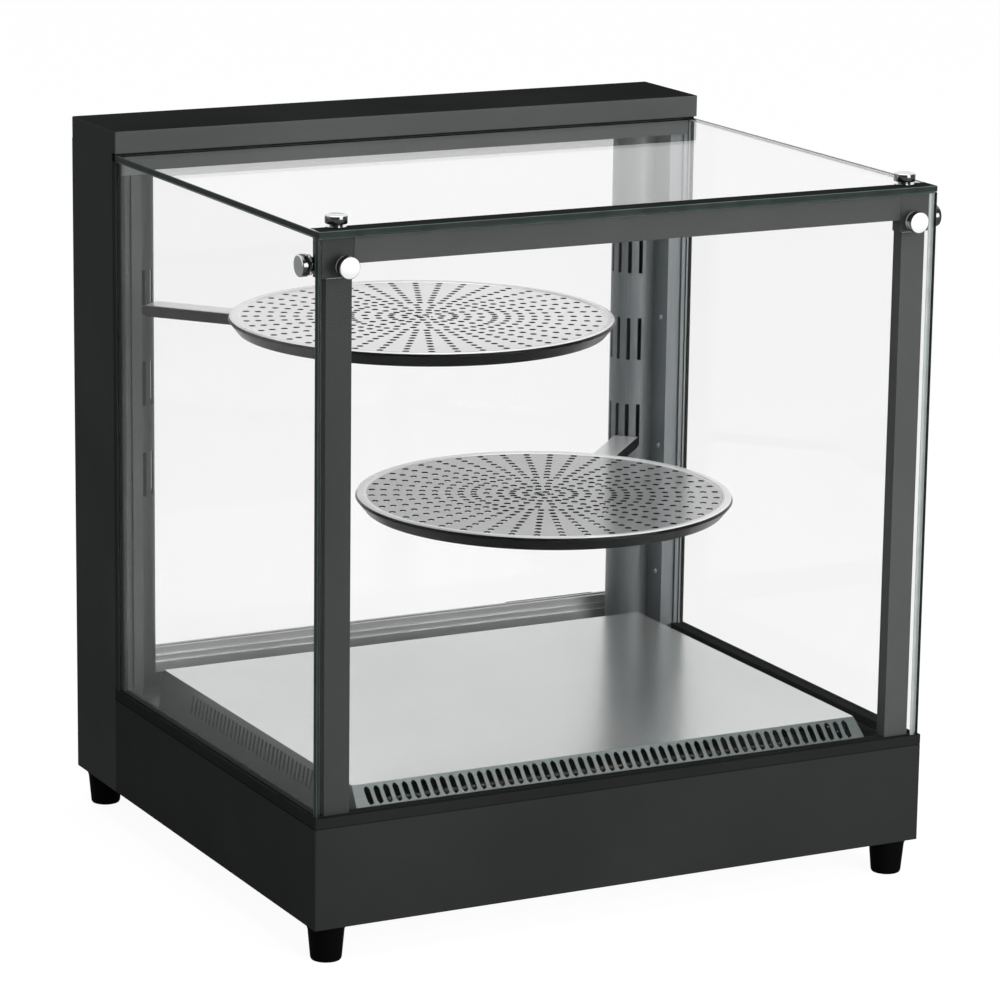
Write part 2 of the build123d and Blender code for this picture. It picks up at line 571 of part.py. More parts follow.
BAND_HALF = -POST_EDGE
CAP_REAR_LIP = BACK - POST_BACK_Y - RUN_GAP
BAND_BACK = BACK - CAP_REAR_LIP + SHEET
ROOF_BACK = COLUMN_Y - 1.0
with BuildPart() as header_band:
    with BuildSketch(Plane.YZ.offset(-BAND_HALF)):
        with BuildLine():
            Polyline((BAND_BACK - MID, CAP_Z - RUN_GAP - MID), (BAND_BACK - MID, BAND_Z + MID),
                     (CHANNEL_Y + MID, BAND_Z + MID), (CHANNEL_Y + MID, ROOF_Z - RUN_GAP - MID),
                     (ROOF_BACK + RUN_GAP + MID, ROOF_Z - RUN_GAP - MID),
                     (ROOF_BACK + RUN_GAP + MID, CAP_Z - RUN_GAP - MID))
            offset(amount=MID, kind=Kind.INTERSECTION, side=Side.BOTH)
        make_face()
    extrude(amount=2 * BAND_HALF)
    # window over the lamp's diffuser
    slab(-LAMP_HALF, LAMP_HALF, LAMP_Y - LAMP_WIDTH / 2, LAMP_Y + LAMP_WIDTH / 2,
         BAND_Z, BAND_Z + SHEET, Mode.SUBTRACT)
save(header_band.part, "header_band")

with BuildPart() as header_cap:
    slab(-HALF, HALF, HEADER_Y, BACK, CAP_Z, TOP_Z)
    fillet(header_cap.edges().filter_by(Axis.Z), radius=2.0)
    slab(-HALF + SHEET, HALF - SHEET, HEADER_Y + SHEET, BACK - SHEET, CAP_Z + SHEET, TOP_Z - SHEET,
         Mode.SUBTRACT)
    slab(-HALF + CAP_LIP, HALF - CAP_LIP, HEADER_Y + CAP_LIP, BACK - CAP_REAR_LIP,
         CAP_Z, CAP_Z + SHEET, Mode.SUBTRACT)
    fillet(header_cap.edges().group_by(Axis.Z)[-1], radius=1.2)
    with Locations(Plane(origin=(-PIVOT_X, PIVOT_Y, CAP_Z))):
        Hole(radius=PIVOT_R + SHAFT_GAP, depth=2 * SHEET)
save(header_cap.part, "header_cap")

with BuildPart() as roof_seal:
    slab(-GLASS_FACE_X, GLASS_FACE_X, HEADER_Y + 2 * SHEET, ROOF_BACK, ROOF_TOP, CAP_Z)
save(roof_seal.part, "roof_seal")

with BuildPart() as lamp_diffuser:
    slab(-LAMP_HALF - LAMP_EDGE, LAMP_HALF + LAMP_EDGE, LAMP_Y - LAMP_WIDTH / 2 - LAMP_EDGE,
         LAMP_Y + LAMP_WIDTH / 2 + LAMP_EDGE, BAND_Z + SHEET, BAND_Z + SHEET + DIFFUSER)
save(lamp_diffuser.part, "lamp_diffuser")

LAMP_Z = BAND_Z + SHEET + DIFFUSER
with BuildPart() as lamp_channel:
    with BuildSketch(Plane.YZ.offset(-LAMP_HALF)):
        with Locations((LAMP_Y, LAMP_Z)):
            Rectangle(LAMP_WIDTH, LAMP_HEIGHT, align=(Align.CENTER, Align.MIN))
            Rectangle(LAMP_WIDTH - 2 * SHEET, LAMP_HEIGHT - SHEET, align=(Align.CENTER, Align.MIN),
                      mode=Mode.SUBTRACT)
    extrude(amount=2 * LAMP_HALF)
save(lamp_channel.part, "lamp_channel")

LED_COUNT = 1 + int(2 * (LAMP_HALF - LED_EDGE - LED / 2) / LED_PITCH)
with BuildPart() as led_strip:
    slab(-LAMP_HALF + LED_EDGE, LAMP_HALF - LED_EDGE, LAMP_Y - LED, LAMP_Y + LED,
         LAMP_Z + LAMP_HEIGHT - SHEET - LED_BOARD, LAMP_Z + LAMP_HEIGHT - SHEET)
    with BuildSketch(Plane.XY.offset(LAMP_Z + LAMP_HEIGHT - SHEET - LED_BOARD)):
        with Locations((0, LAMP_Y)):
            with GridLocations(LED_PITCH, 1, LED_COUNT, 1):
                Rectangle(LED, LED)
    extrude(amount=-1.2)
save(led_strip.part, "led_strip")

# Panes

PANE_EDGE = 0.6                    # polished edge
KNOB_X = HALF - KNOB_SIDE
KNOB_Y = FRONT + KNOB_FRONT
with BuildPart() as front_glass:
    slab(-GLASS_FACE_X, GLASS_FACE_X, GLASS_FACE_Y, GLASS_FACE_Y + GLASS, PANE_Z, PANE_TOP)
    chamfer(front_glass.edges(), length=PANE_EDGE)
    with BuildSketch(Plane.XZ.offset(-GLASS_FACE_Y)):
        with Locations((-KNOB_X, KNOB_Z), (KNOB_X, KNOB_Z)):
            Circle(STUD_HOLE_R)
    extrude(amount=-GLASS, mode=Mode.SUBTRACT)
save(front_glass.part, "front_glass")

with BuildPart() as side_glass:
    slab(-GLASS_FACE_X, -GLASS_FACE_X + GLASS, GLASS_FACE_Y + GLASS + CORNER_GAP,
         CHANNEL_Y + CHANNEL_GRIP, PANE_Z, PANE_TOP)
    chamfer(side_glass.edges(), length=PANE_EDGE)
    with BuildSketch(Plane.YZ.offset(-GLASS_FACE_X)):
        with Locations((KNOB_Y, KNOB_Z)):
            Circle(STUD_HOLE_R)
    extrude(amount=GLASS, mode=Mode.SUBTRACT)
save(side_glass.part, "side_glass_left")
save(mirrored(side_glass.part), "side_glass_right")

with BuildPart() as roof_glass:
    slab(-GLASS_FACE_X, GLASS_FACE_X, GLASS_FACE_Y, ROOF_BACK, ROOF_Z, ROOF_TOP)
    chamfer(roof_glass.edges(), length=PANE_EDGE)
    with BuildSketch(Plane.XY.offset(ROOF_Z)):
        with Locations((-KNOB_X, KNOB_Y), (KNOB_X, KNOB_Y)):
            Circle(STUD_HOLE_R)
    extrude(amount=GLASS, mode=Mode.SUBTRACT)
save(roof_glass.part, "roof_glass")

# Front border: channels behind the front glass, joined by three-way blocks

BEHIND_GLASS = GLASS_FACE_Y + GLASS + RUN_GAP
BESIDE_GLASS = -GLASS_FACE_X + GLASS + RUN_GAP
BLOCK_TOP = ROOF_Z - RUN_GAP
BLOCK_Z = KNOB_Z - BLOCK_REACH
BLOCK_X = -KNOB_X + BLOCK_REACH
with BuildPart() as corner_block:
    slab(BESIDE_GLASS, BLOCK_X, BEHIND_GLASS, KNOB_Y + BLOCK_REACH, BLOCK_Z, BLOCK_TOP)
    chamfer(corner_block.edges().filter_by(Axis.Z).sort_by(SortBy.DISTANCE, reverse=False)[0], length=6)
    with BuildSketch(Plane.XZ.offset(-BEHIND_GLASS)):
        with Locations((-KNOB_X, KNOB_Z)):
            Circle(STUD_R + SHAFT_GAP)
    extrude(amount=-STUD_GRIP - 1, mode=Mode.SUBTRACT)
    with BuildSketch(Plane.YZ.offset(BESIDE_GLASS)):
        with Locations((KNOB_Y, KNOB_Z)):
            Circle(STUD_R + SHAFT_GAP)
    extrude(amount=STUD_GRIP + 1, mode=Mode.SUBTRACT)
    with BuildSketch(Plane.XY.offset(BLOCK_TOP)):
        with Locations((-KNOB_X, KNOB_Y)):
            Circle(STUD_R + SHAFT_GAP)
    extrude(amount=-STUD_GRIP - 1, mode=Mode.SUBTRACT)
save(corner_block.part, "corner_block_left")
save(mirrored(corner_block.part), "corner_block_right")

with BuildPart() as border_post:
    with BuildSketch(Plane.XY.offset(SILL_Z)):
        with Locations((-HALF + BORDER_INSET + BORDER_WIDTH / 2, BEHIND_GLASS)):
            Rectangle(BORDER_WIDTH, BORDER_DEPTH, align=(Align.CENTER, Align.MIN))
        with Locations((-HALF + BORDER_INSET + BORDER_WIDTH / 2, BEHIND_GLASS + BORDER_WALL)):
            Rectangle(BORDER_WIDTH - 2 * BORDER_WALL, BORDER_DEPTH, align=(Align.CENTER, Align.MIN),
                      mode=Mode.SUBTRACT)
    extrude(amount=BLOCK_Z - RUN_GAP - SILL_Z)
save(border_post.part, "border_post_left")
save(mirrored(border_post.part), "border_post_right")

with BuildPart() as border_rail:
    with BuildSketch(Plane.YZ.offset(BLOCK_X + RUN_GAP)):
        with Locations((BEHIND_GLASS, BLOCK_TOP)):
            Rectangle(BORDER_DEPTH, BORDER_WIDTH, align=(Align.MIN, Align.MAX))
        with Locations((BEHIND_GLASS + BORDER_WALL, BLOCK_TOP - BORDER_WALL)):
            Rectangle(BORDER_DEPTH, BORDER_WIDTH - 2 * BORDER_WALL, align=(Align.MIN, Align.MAX),
                      mode=Mode.SUBTRACT)
    extrude(amount=-2 * (BLOCK_X + RUN_GAP))
save(border_rail.part, "border_rail")

# Chrome knobs: washer, neck, bevelled cap and a stud into the corner block

STUD_LENGTH = GLASS + RUN_GAP + STUD_GRIP
with BuildPart() as knob:
    with BuildSketch(Plane.XZ):
        with BuildLine():
            Polyline((0, -STUD_LENGTH), (STUD_R, -STUD_LENGTH), (STUD_R, 0), (WASHER_R, 0), (WASHER_R, WASHER),
                     (KNOB_NECK_R, WASHER), (KNOB_NECK_R, WASHER + KNOB_NECK),
                     (KNOB_R, WASHER + KNOB_NECK), (KNOB_R, WASHER + KNOB_NECK + KNOB_CAP - 1.5),
                     (KNOB_R - 1.5, WASHER + KNOB_NECK + KNOB_CAP), (0, WASHER + KNOB_NECK + KNOB_CAP),
                     (0, -STUD_LENGTH))
        make_face()
    revolve(axis=Axis.Z)
with BuildPart() as glass_knobs:
    for side in (-1, 1):
        with Locations(Plane(origin=(side * KNOB_X, GLASS_FACE_Y, KNOB_Z), z_dir=(0, -1, 0)),
                       Plane(origin=(side * GLASS_FACE_X, KNOB_Y, KNOB_Z), z_dir=(side, 0, 0)),
                       Plane(origin=(side * KNOB_X, KNOB_Y, ROOF_TOP), z_dir=(0, 0, 1))):
            add(knob.part)
save(glass_knobs.part, "glass_knobs")

# Heating element on its supports, fan, sensor and terminal block

ELEMENT_Z = TRAY_Z + SHEET + ELEMENT_RISE
element_points = [(-ELEMENT_HALF, ELEMENT_START, TRAY_Z - ELEMENT_TAIL)]
for run in range(ELEMENT_RUNS):
    near = -ELEMENT_HALF if run % 2 == 0 else ELEMENT_HALF
    element_points.append((near, ELEMENT_START + run * ELEMENT_PITCH, ELEMENT_Z))
    element_points.append((-near, ELEMENT_START + run * ELEMENT_PITCH, ELEMENT_Z))
element_points.append((element_points[-1][0], element_points[-1][1], TRAY_Z - ELEMENT_TAIL))
element_radii = [ELEMENT_RISE * 0.6] + [ELEMENT_PITCH * 0.48] * (2 * ELEMENT_RUNS - 2) + [ELEMENT_RISE * 0.6]
with BuildPart() as heating_element:
    with BuildLine():
        FilletPolyline(*element_points, radius=element_radii)
    with BuildSketch(Plane(origin=element_points[0], z_dir=(0, 0, 1))):
        Circle(ELEMENT_R)
    sweep()
    for end in (element_points[0], element_points[-1]):
        for level in (TRAY_Z - 5, TRAY_Z + SHEET):
            with BuildSketch(Plane.XY.offset(level)):
                with Locations((end[0], end[1])):
                    RegularPolygon(radius=ELEMENT_R + 5, side_count=6)
            extrude(amount=5 - RUN_GAP * (level < TRAY_Z))
save(heating_element.part, "heating_element")

with BuildPart() as element_supports:
    for side in (-1, 1):
        with BuildSketch(Plane.YZ.offset(side * SUPPORT_SIDE - SUPPORT_WIDTH / 2)):
            with Locations(((ELEMENT_START + ELEMENT_END) / 2, TRAY_Z + SHEET)):
                Rectangle(ELEMENT_END - ELEMENT_START + 24, ELEMENT_RISE, align=(Align.CENTER, Align.MIN))
            with Locations(*[(ELEMENT_START + run * ELEMENT_PITCH, ELEMENT_Z) for run in range(ELEMENT_RUNS)]):
                Circle(ELEMENT_R + FIT, mode=Mode.SUBTRACT)
        extrude(amount=SUPPORT_WIDTH)
save(element_supports.part, "element_supports")

FAN_Z = TRAY_Z - FAN_HEIGHT
with BuildPart() as fan_frame:
    with BuildSketch(Plane.XY.offset(FAN_Z)):
        with Locations((0, FAN_Y)):
            RectangleRounded(FAN_SIZE, FAN_SIZE, FAN_CORNER_R)
            Circle(FAN_BORE_R, mode=Mode.SUBTRACT)
            with GridLocations(FAN_SIZE - 2 * FAN_SCREW_INSET, FAN_SIZE - 2 * FAN_SCREW_INSET, 2, 2):
                Circle(FAN_SCREW_R, mode=Mode.SUBTRACT)
    extrude(amount=FAN_HEIGHT)
    with BuildSketch(Plane.XY.offset(FAN_Z)):
        with Locations((0, FAN_Y)):
            Rectangle(2 * FAN_BORE_R + 2, FAN_SPOKE)
            Rectangle(FAN_SPOKE, 2 * FAN_BORE_R + 2)
            Circle(FAN_HUB_R - 1)
    extrude(amount=FAN_BOSS)
    with Locations((0, FAN_Y, FAN_Z)):
        Cylinder(FAN_SHAFT_R + SHAFT_GAP, 3 * FAN_BOSS, mode=Mode.SUBTRACT)
save(fan_frame.part, "fan_frame")

ROTOR_Z = FAN_Z + FAN_BOSS + 1.0
ROTOR_TOP = TRAY_Z - 2.0
with BuildPart() as fan_rotor:
    with BuildSketch(Plane.XY.offset(ROTOR_Z)):
        with Locations((0, FAN_Y)):
            Circle(FAN_HUB_R)
    extrude(amount=ROTOR_TOP - ROTOR_Z)
    fillet(fan_rotor.edges().group_by(Axis.Z)[-1], radius=2)
    with BuildSketch(Plane.XY.offset(FAN_Z + 1)):
        with Locations((0, FAN_Y)):
            Circle(FAN_SHAFT_R)
    extrude(amount=ROTOR_Z - FAN_Z)
    BLADE_REACH = FAN_BORE_R - FAN_TIP_GAP - FAN_HUB_R
    for blade in range(FAN_BLADES):
        turn = radians(360 * blade / FAN_BLADES)
        middle = FAN_HUB_R - 1 + BLADE_REACH / 2
        spot = Plane(origin=(middle * cos(turn), FAN_Y + middle * sin(turn), (ROTOR_Z + ROTOR_TOP) / 2),
                     x_dir=(cos(turn), sin(turn), 0),
                     z_dir=(0.57 * sin(turn), -0.57 * cos(turn), 0.82))
        with Locations(spot):
            Box(BLADE_REACH, FAN_CHORD, FAN_BLADE)
save(fan_rotor.part, "fan_rotor")

SENSOR_Y = (FAN_Y + FAN_BORE_R + HEADER_Y) / 2 + 6
with BuildPart() as sensor_bulb:
    with BuildSketch(Plane.YZ.offset(SUPPORT_SIDE / 2)):
        with Locations((SENSOR_Y, TRAY_Z + SHEET + SENSOR_RISE)):
            Circle(SENSOR_R)
    extrude(amount=SENSOR_LENGTH)
    for stand in (0.2, 0.8):
        with BuildSketch(Plane.YZ.offset(SUPPORT_SIDE / 2 + stand * SENSOR_LENGTH - 4)):
            with Locations((SENSOR_Y, TRAY_Z + SHEET)):
                Rectangle(2 * SENSOR_R + 3, SENSOR_RISE + 1, align=(Align.CENTER, Align.MIN))
        extrude(amount=8)
save(sensor_bulb.part, "sensor_bulb")

with BuildPart() as terminal_block:
    with BuildSketch(Plane.XY.offset(BASE_Z + 2 * SHEET)):
        with Locations((-PANEL_SHIFT, BACK - TERMINAL_BACK)):
            Rectangle(TERMINAL_WIDTH, TERMINAL_DEPTH)
    extrude(amount=16)
    with BuildSketch(Plane.XY.offset(BASE_Z + 2 * SHEET + 16)):
        with Locations((-PANEL_SHIFT, BACK - TERMINAL_BACK)):
            with GridLocations(TERMINAL_WIDTH / 6, 10, 5, 2):
                Circle(3)
    extrude(amount=-6, mode=Mode.SUBTRACT)
save(terminal_block.part, "terminal_block")

# Controls on the back of the base

DIAL_X = PANEL_SHIFT + DIAL_SHIFT
PANEL_FACE = BACK + PANEL_SHEET
SWITCHES = {"heater": PANEL_SHIFT + HEATER_SHIFT, "lamp": PANEL_SHIFT - LAMP_SHIFT}
PILOT_X = PANEL_SHIFT - PILOT_SHIFT
POCKET_HALF = sqrt(ROCKER_HALF ** 2 + ROCKER_RISE ** 2) * cos(
    radians(30.3 - ROCKER_TILT)) + 2 * RUN_GAP
POCKET_WIDTH = ROCKER_WIDTH + 2 * RUN_GAP
with BuildPart() as control_panel:
    with BuildSketch(Plane.XZ.offset(-BACK)):
        with Locations((PANEL_SHIFT, CONTROL_Z)):
            RectangleRounded(PANEL_WIDTH, PANEL_HEIGHT, 4)
            with GridLocations(PANEL_WIDTH - PANEL_RIM, PANEL_HEIGHT - PANEL_RIM, 2, 2):
                Circle(PANEL_SCREW_R + FIT, mode=Mode.SUBTRACT)
        with Locations((DIAL_X, CONTROL_Z)):
            Circle(DIAL_SHAFT_R + 2 * FIT, mode=Mode.SUBTRACT)
        with Locations(*[(x, CONTROL_Z) for x in SWITCHES.values()]):
            Rectangle(POCKET_WIDTH + 2 * SWITCH_WALL + FIT, 2 * POCKET_HALF + 2 * SWITCH_WALL + FIT,
                      mode=Mode.SUBTRACT)
        with Locations((PILOT_X, CONTROL_Z)):
            Circle(PILOT_R + FIT, mode=Mode.SUBTRACT)
    extrude(amount=-PANEL_SHEET)
save(control_panel.part, "control_panel")

with BuildPart() as panel_screws:
    for length, radius in ((1.6, 2 * PANEL_SCREW_R - 0.2), (-6.0, PANEL_SCREW_R)):
        with BuildSketch(Plane.XZ.offset(-PANEL_FACE)):
            with Locations((PANEL_SHIFT, CONTROL_Z)):
                with GridLocations(PANEL_WIDTH - PANEL_RIM, PANEL_HEIGHT - PANEL_RIM, 2, 2):
                    Circle(radius)
        extrude(amount=-length)
save(panel_screws.part, "panel_screws")

with BuildPart() as thermostat_body:
    with BuildSketch(Plane.XZ.offset(-BACK)):
        with Locations((DIAL_X, CONTROL_Z)):
            RectangleRounded(THERMOSTAT_SIZE, THERMOSTAT_SIZE, 4)
    extrude(amount=THERMOSTAT_DEPTH)
    with BuildSketch(Plane.XZ.offset(-BACK)):
        with Locations((DIAL_X, CONTROL_Z)):
            Circle(DIAL_SHAFT_R + SHAFT_GAP)
    extrude(amount=12, mode=Mode.SUBTRACT)
save(thermostat_body.part, "thermostat_body")

DIAL_BACK = PANEL_FACE + DIAL_GAP
with BuildPart() as thermostat_dial:
    with BuildSketch(Plane.XZ.offset(-DIAL_BACK)):
        with Locations((DIAL_X, CONTROL_Z)):
            Circle(DIAL_R)
    extrude(amount=-0.35 * DIAL_LENGTH)
    fillet(thermostat_dial.edges().group_by(Axis.Y)[-1], radius=1.2)
    with BuildSketch(Plane.XZ.offset(-DIAL_BACK)):
        with Locations((DIAL_X, CONTROL_Z)):
            SlotOverall(2 * DIAL_R - 3, 11, rotation=90)
    extrude(amount=-DIAL_LENGTH)
    fillet(thermostat_dial.edges().group_by(Axis.Y)[-1], radius=1.2)
    with BuildSketch(Plane.XZ.offset(-DIAL_BACK)):
        with Locations((DIAL_X, CONTROL_Z)):
            Circle(DIAL_SHAFT_R)
    extrude(amount=DIAL_BACK - BACK + 10)
save(thermostat_dial.part, "thermostat_dial")

BEZEL_FACE = PANEL_FACE + BEZEL
PIVOT_DEPTH_Y = BEZEL_FACE - ROCKER_DEPTH
for switch_name, switch_x in SWITCHES.items():
    with BuildPart() as switch_frame:
        with BuildSketch(Plane.XZ.offset(-BEZEL_FACE)):
            with Locations((switch_x, CONTROL_Z)):
                RectangleRounded(POCKET_WIDTH + 2 * SWITCH_WALL + 2 * BEZEL,
                                 2 * POCKET_HALF + 2 * SWITCH_WALL + 2 * BEZEL, 1.5)
        extrude(amount=BEZEL)
        with BuildSketch(Plane.XZ.offset(-BEZEL_FACE)):
            with Locations((switch_x, CONTROL_Z)):
                Rectangle(POCKET_WIDTH + 2 * SWITCH_WALL, 2 * POCKET_HALF + 2 * SWITCH_WALL)
        extrude(amount=SWITCH_DEPTH)
        with BuildSketch(Plane.XZ.offset(-BEZEL_FACE)):
            with Locations((switch_x, CONTROL_Z)):
                Rectangle(POCKET_WIDTH, 2 * POCKET_HALF)
        extrude(amount=ROCKER_DEPTH + ROCKER_HALF, mode=Mode.SUBTRACT)
        with Locations(Plane(origin=(switch_x, PIVOT_DEPTH_Y, CONTROL_Z), z_dir=(1, 0, 0))):
            Cylinder(ROCKER_PIN_R + SHAFT_GAP, POCKET_WIDTH + 1.4 * SWITCH_WALL, mode=Mode.SUBTRACT)
    save(switch_frame.part, switch_name + "_switch_frame")
    lean = radians(ROCKER_TILT)
    with BuildPart() as rocker:
        with BuildSketch(Plane(origin=(switch_x, PIVOT_DEPTH_Y, CONTROL_Z),
                               x_dir=(0, -sin(lean), cos(lean)), z_dir=(-1, 0, 0))):
            with BuildLine():
                Polyline((-ROCKER_HALF, ROCKER_RISE), (0, ROCKER_RISE - 2), (ROCKER_HALF, ROCKER_RISE),
                         (0.7 * ROCKER_HALF, -4), (-0.7 * ROCKER_HALF, -4), close=True)
            make_face()
        extrude(amount=ROCKER_WIDTH / 2, both=True)
        with Locations(Plane(origin=(switch_x, PIVOT_DEPTH_Y, CONTROL_Z), z_dir=(1, 0, 0))):
            Cylinder(ROCKER_PIN_R, POCKET_WIDTH + SWITCH_WALL)
    save(rocker.part, switch_name + "_rocker")

with BuildPart() as pilot_lamp:
    with BuildSketch(Plane.XY):
        with BuildLine():
            Polyline((0, -16), (PILOT_R, -16), (PILOT_R, 0), (PILOT_R + 2, 0), (PILOT_R + 2, 1.5),
                     (PILOT_R - 0.2, 1.5), (0.8 * PILOT_R, 4), (0.4 * PILOT_R, 5.2), (0, 5.2), (0, -16))
        make_face()
    revolve(axis=Axis.Y)
pilot_lamp.part.position = (PILOT_X, PANEL_FACE, CONTROL_Z)
save(pilot_lamp.part, "pilot_lamp")

with BuildPart() as cable_gland:
    for start, length, radius in ((0, 6, 13), (-SHEET - 5, 5 - RUN_GAP, 12)):
        with BuildSketch(Plane.XZ.offset(-BACK - start)):
            with Locations((-HALF + GLAND_SIDE, CONTROL_Z)):
                RegularPolygon(radius=radius, side_count=6)
        extrude(amount=-length)
    with BuildSketch(Plane.XZ.offset(-BACK + SHEET + 8)):
        with Locations((-HALF + GLAND_SIDE, CONTROL_Z)):
            Circle(GLAND_R)
    extrude(amount=-SHEET - 8 - 14)
    fillet(cable_gland.edges().group_by(Axis.Y)[-1], radius=2.5)
    with BuildSketch(Plane.XZ.offset(-BACK - 14)):
        with Locations((-HALF + GLAND_SIDE, CONTROL_Z)):
            Circle(3.6)
    extrude(amount=40, mode=Mode.SUBTRACT)
save(cable_gland.part, "cable_gland")

# Rear door: frameless glass leaf between two rails, on a pin at each end

DOOR_HALF = HALF - DOOR_SIDE_GAP
LEAF_Z = SILL_Z + DOOR_GAP
LEAF_TOP = CAP_Z - DOOR_GAP
RAIL_FACE = PIVOT_Y - RAIL_THICK / 2
TAIL_SWEEP = sqrt((PIVOT_INSET - DOOR_SIDE_GAP) ** 2 + (RAIL_THICK / 2) ** 2)
with BuildPart() as rear_sill:
    with BuildSketch(Plane.YZ.offset(-HALF + SIDE_IN)):
        with Locations((BACK - SHEET - RUN_GAP, TRIM_Z)):
            Rectangle(SILL_DEPTH, TRIM_HEIGHT, align=(Align.MAX, Align.MIN))
    extrude(amount=WIDTH - 2 * SIDE_IN)
    slab(-PIVOT_X + TAIL_SWEEP + 1, DOOR_HALF, RAIL_FACE - RUN_GAP - STOP_WIDTH, RAIL_FACE - RUN_GAP,
         SILL_Z, LEAF_Z + STOP_RISE)
    with BuildSketch(Plane.XY.offset(SILL_Z)):
        with Locations((-PIVOT_X, PIVOT_Y)):
            Circle(PIVOT_R + SHAFT_GAP)
    extrude(amount=-PIVOT_LENGTH - RUN_GAP, mode=Mode.SUBTRACT)
save(rear_sill.part, "rear_sill")

with BuildPart() as door_bottom_rail:
    with BuildSketch(Plane.YZ.offset(-DOOR_HALF)):
        with Locations((PIVOT_Y, LEAF_Z)):
            Rectangle(RAIL_THICK, RAIL_HEIGHT, align=(Align.CENTER, Align.MIN))
        with Locations((PIVOT_Y, LEAF_Z + RAIL_HEIGHT - RAIL_GRIP)):
            Rectangle(GLASS + 2 * FIT, RAIL_GRIP, align=(Align.CENTER, Align.MIN), mode=Mode.SUBTRACT)
    extrude(amount=2 * DOOR_HALF)
    with BuildSketch(Plane.XY.offset(LEAF_Z)):
        with Locations((-PIVOT_X, PIVOT_Y)):
            Circle(PIVOT_R)
    extrude(amount=-DOOR_GAP - PIVOT_LENGTH)
save(door_bottom_rail.part, "door_bottom_rail")

with BuildPart() as door_top_rail:
    with BuildSketch(Plane.YZ.offset(-DOOR_HALF)):
        with Locations((PIVOT_Y, LEAF_TOP)):
            Rectangle(RAIL_THICK, RAIL_HEIGHT, align=(Align.CENTER, Align.MAX))
        with Locations((PIVOT_Y, LEAF_TOP - RAIL_HEIGHT + RAIL_GRIP)):
            Rectangle(GLASS + 2 * FIT, RAIL_GRIP, align=(Align.CENTER, Align.MAX), mode=Mode.SUBTRACT)
    extrude(amount=2 * DOOR_HALF)
    with BuildSketch(Plane.XY.offset(LEAF_TOP)):
        with Locations((-PIVOT_X, PIVOT_Y)):
            Circle(PIVOT_R)
    extrude(amount=DOOR_GAP + PIVOT_LENGTH)
save(door_top_rail.part, "door_top_rail")

with BuildPart() as door_glass:
    slab(-DOOR_HALF, DOOR_HALF, PIVOT_Y - GLASS / 2, PIVOT_Y + GLASS / 2,
         LEAF_Z + RAIL_HEIGHT - RAIL_GRIP + FIT, LEAF_TOP - RAIL_HEIGHT + RAIL_GRIP - FIT)
    chamfer(door_glass.edges(), length=PANE_EDGE)
save(door_glass.part, "door_glass")

PULL_X = HALF - PULL_SIDE - PULL_WIDTH
with BuildPart() as door_pull:
    with BuildSketch(Plane.YZ.offset(PULL_X)):
        with BuildLine():
            Polyline((PIVOT_Y + RAIL_THICK / 2, LEAF_Z), (BACK + PULL_PROUD, LEAF_Z),
                     (BACK + PULL_PROUD, LEAF_Z + 2 * PULL_SHEET),
                     (BACK + PULL_PROUD - PULL_SHEET, LEAF_Z + 2 * PULL_SHEET),
                     (BACK + PULL_PROUD - PULL_SHEET, LEAF_Z + PULL_SHEET),
                     (PIVOT_Y + RAIL_THICK / 2 + PULL_SHEET, LEAF_Z + PULL_SHEET),
                     (PIVOT_Y + RAIL_THICK / 2 + PULL_SHEET, LEAF_Z + RAIL_HEIGHT),
                     (PIVOT_Y + RAIL_THICK / 2, LEAF_Z + RAIL_HEIGHT), close=True)
        make_face()
    extrude(amount=PULL_WIDTH)
save(door_pull.part, "door_pull")

with BuildPart() as pivot_block:
    with BuildSketch(Plane.XY.offset(CAP_Z + SHEET)):
        with Locations((-PIVOT_X, PIVOT_Y)):
            Rectangle(24, 2 * (PIVOT_BACK - SHEET - RUN_GAP))
            Circle(PIVOT_R + SHAFT_GAP, mode=Mode.SUBTRACT)
    extrude(amount=PIVOT_LENGTH)
save(pivot_block.part, "pivot_block")

CATCH_END = 50               # catch's end from the door's edge
CATCH_LENGTH = 40
with BuildPart() as door_catch:
    slab(DOOR_HALF - CATCH_END - CATCH_LENGTH, DOOR_HALF - CATCH_END, BAND_BACK, RAIL_FACE - RUN_GAP,
         LEAF_TOP - RAIL_HEIGHT, LEAF_TOP)
save(door_catch.part, "door_catch")

# Arms: hooked into the posts, each with a welded round seat for its plate

SEAT_HEIGHT = PLATE_HEIGHT - BEAD_RISE - PLATE_SHEET
HOOK_OFFSET = (POST_R - SHEET / 2) * sin(radians(SLOT_ANGLE))


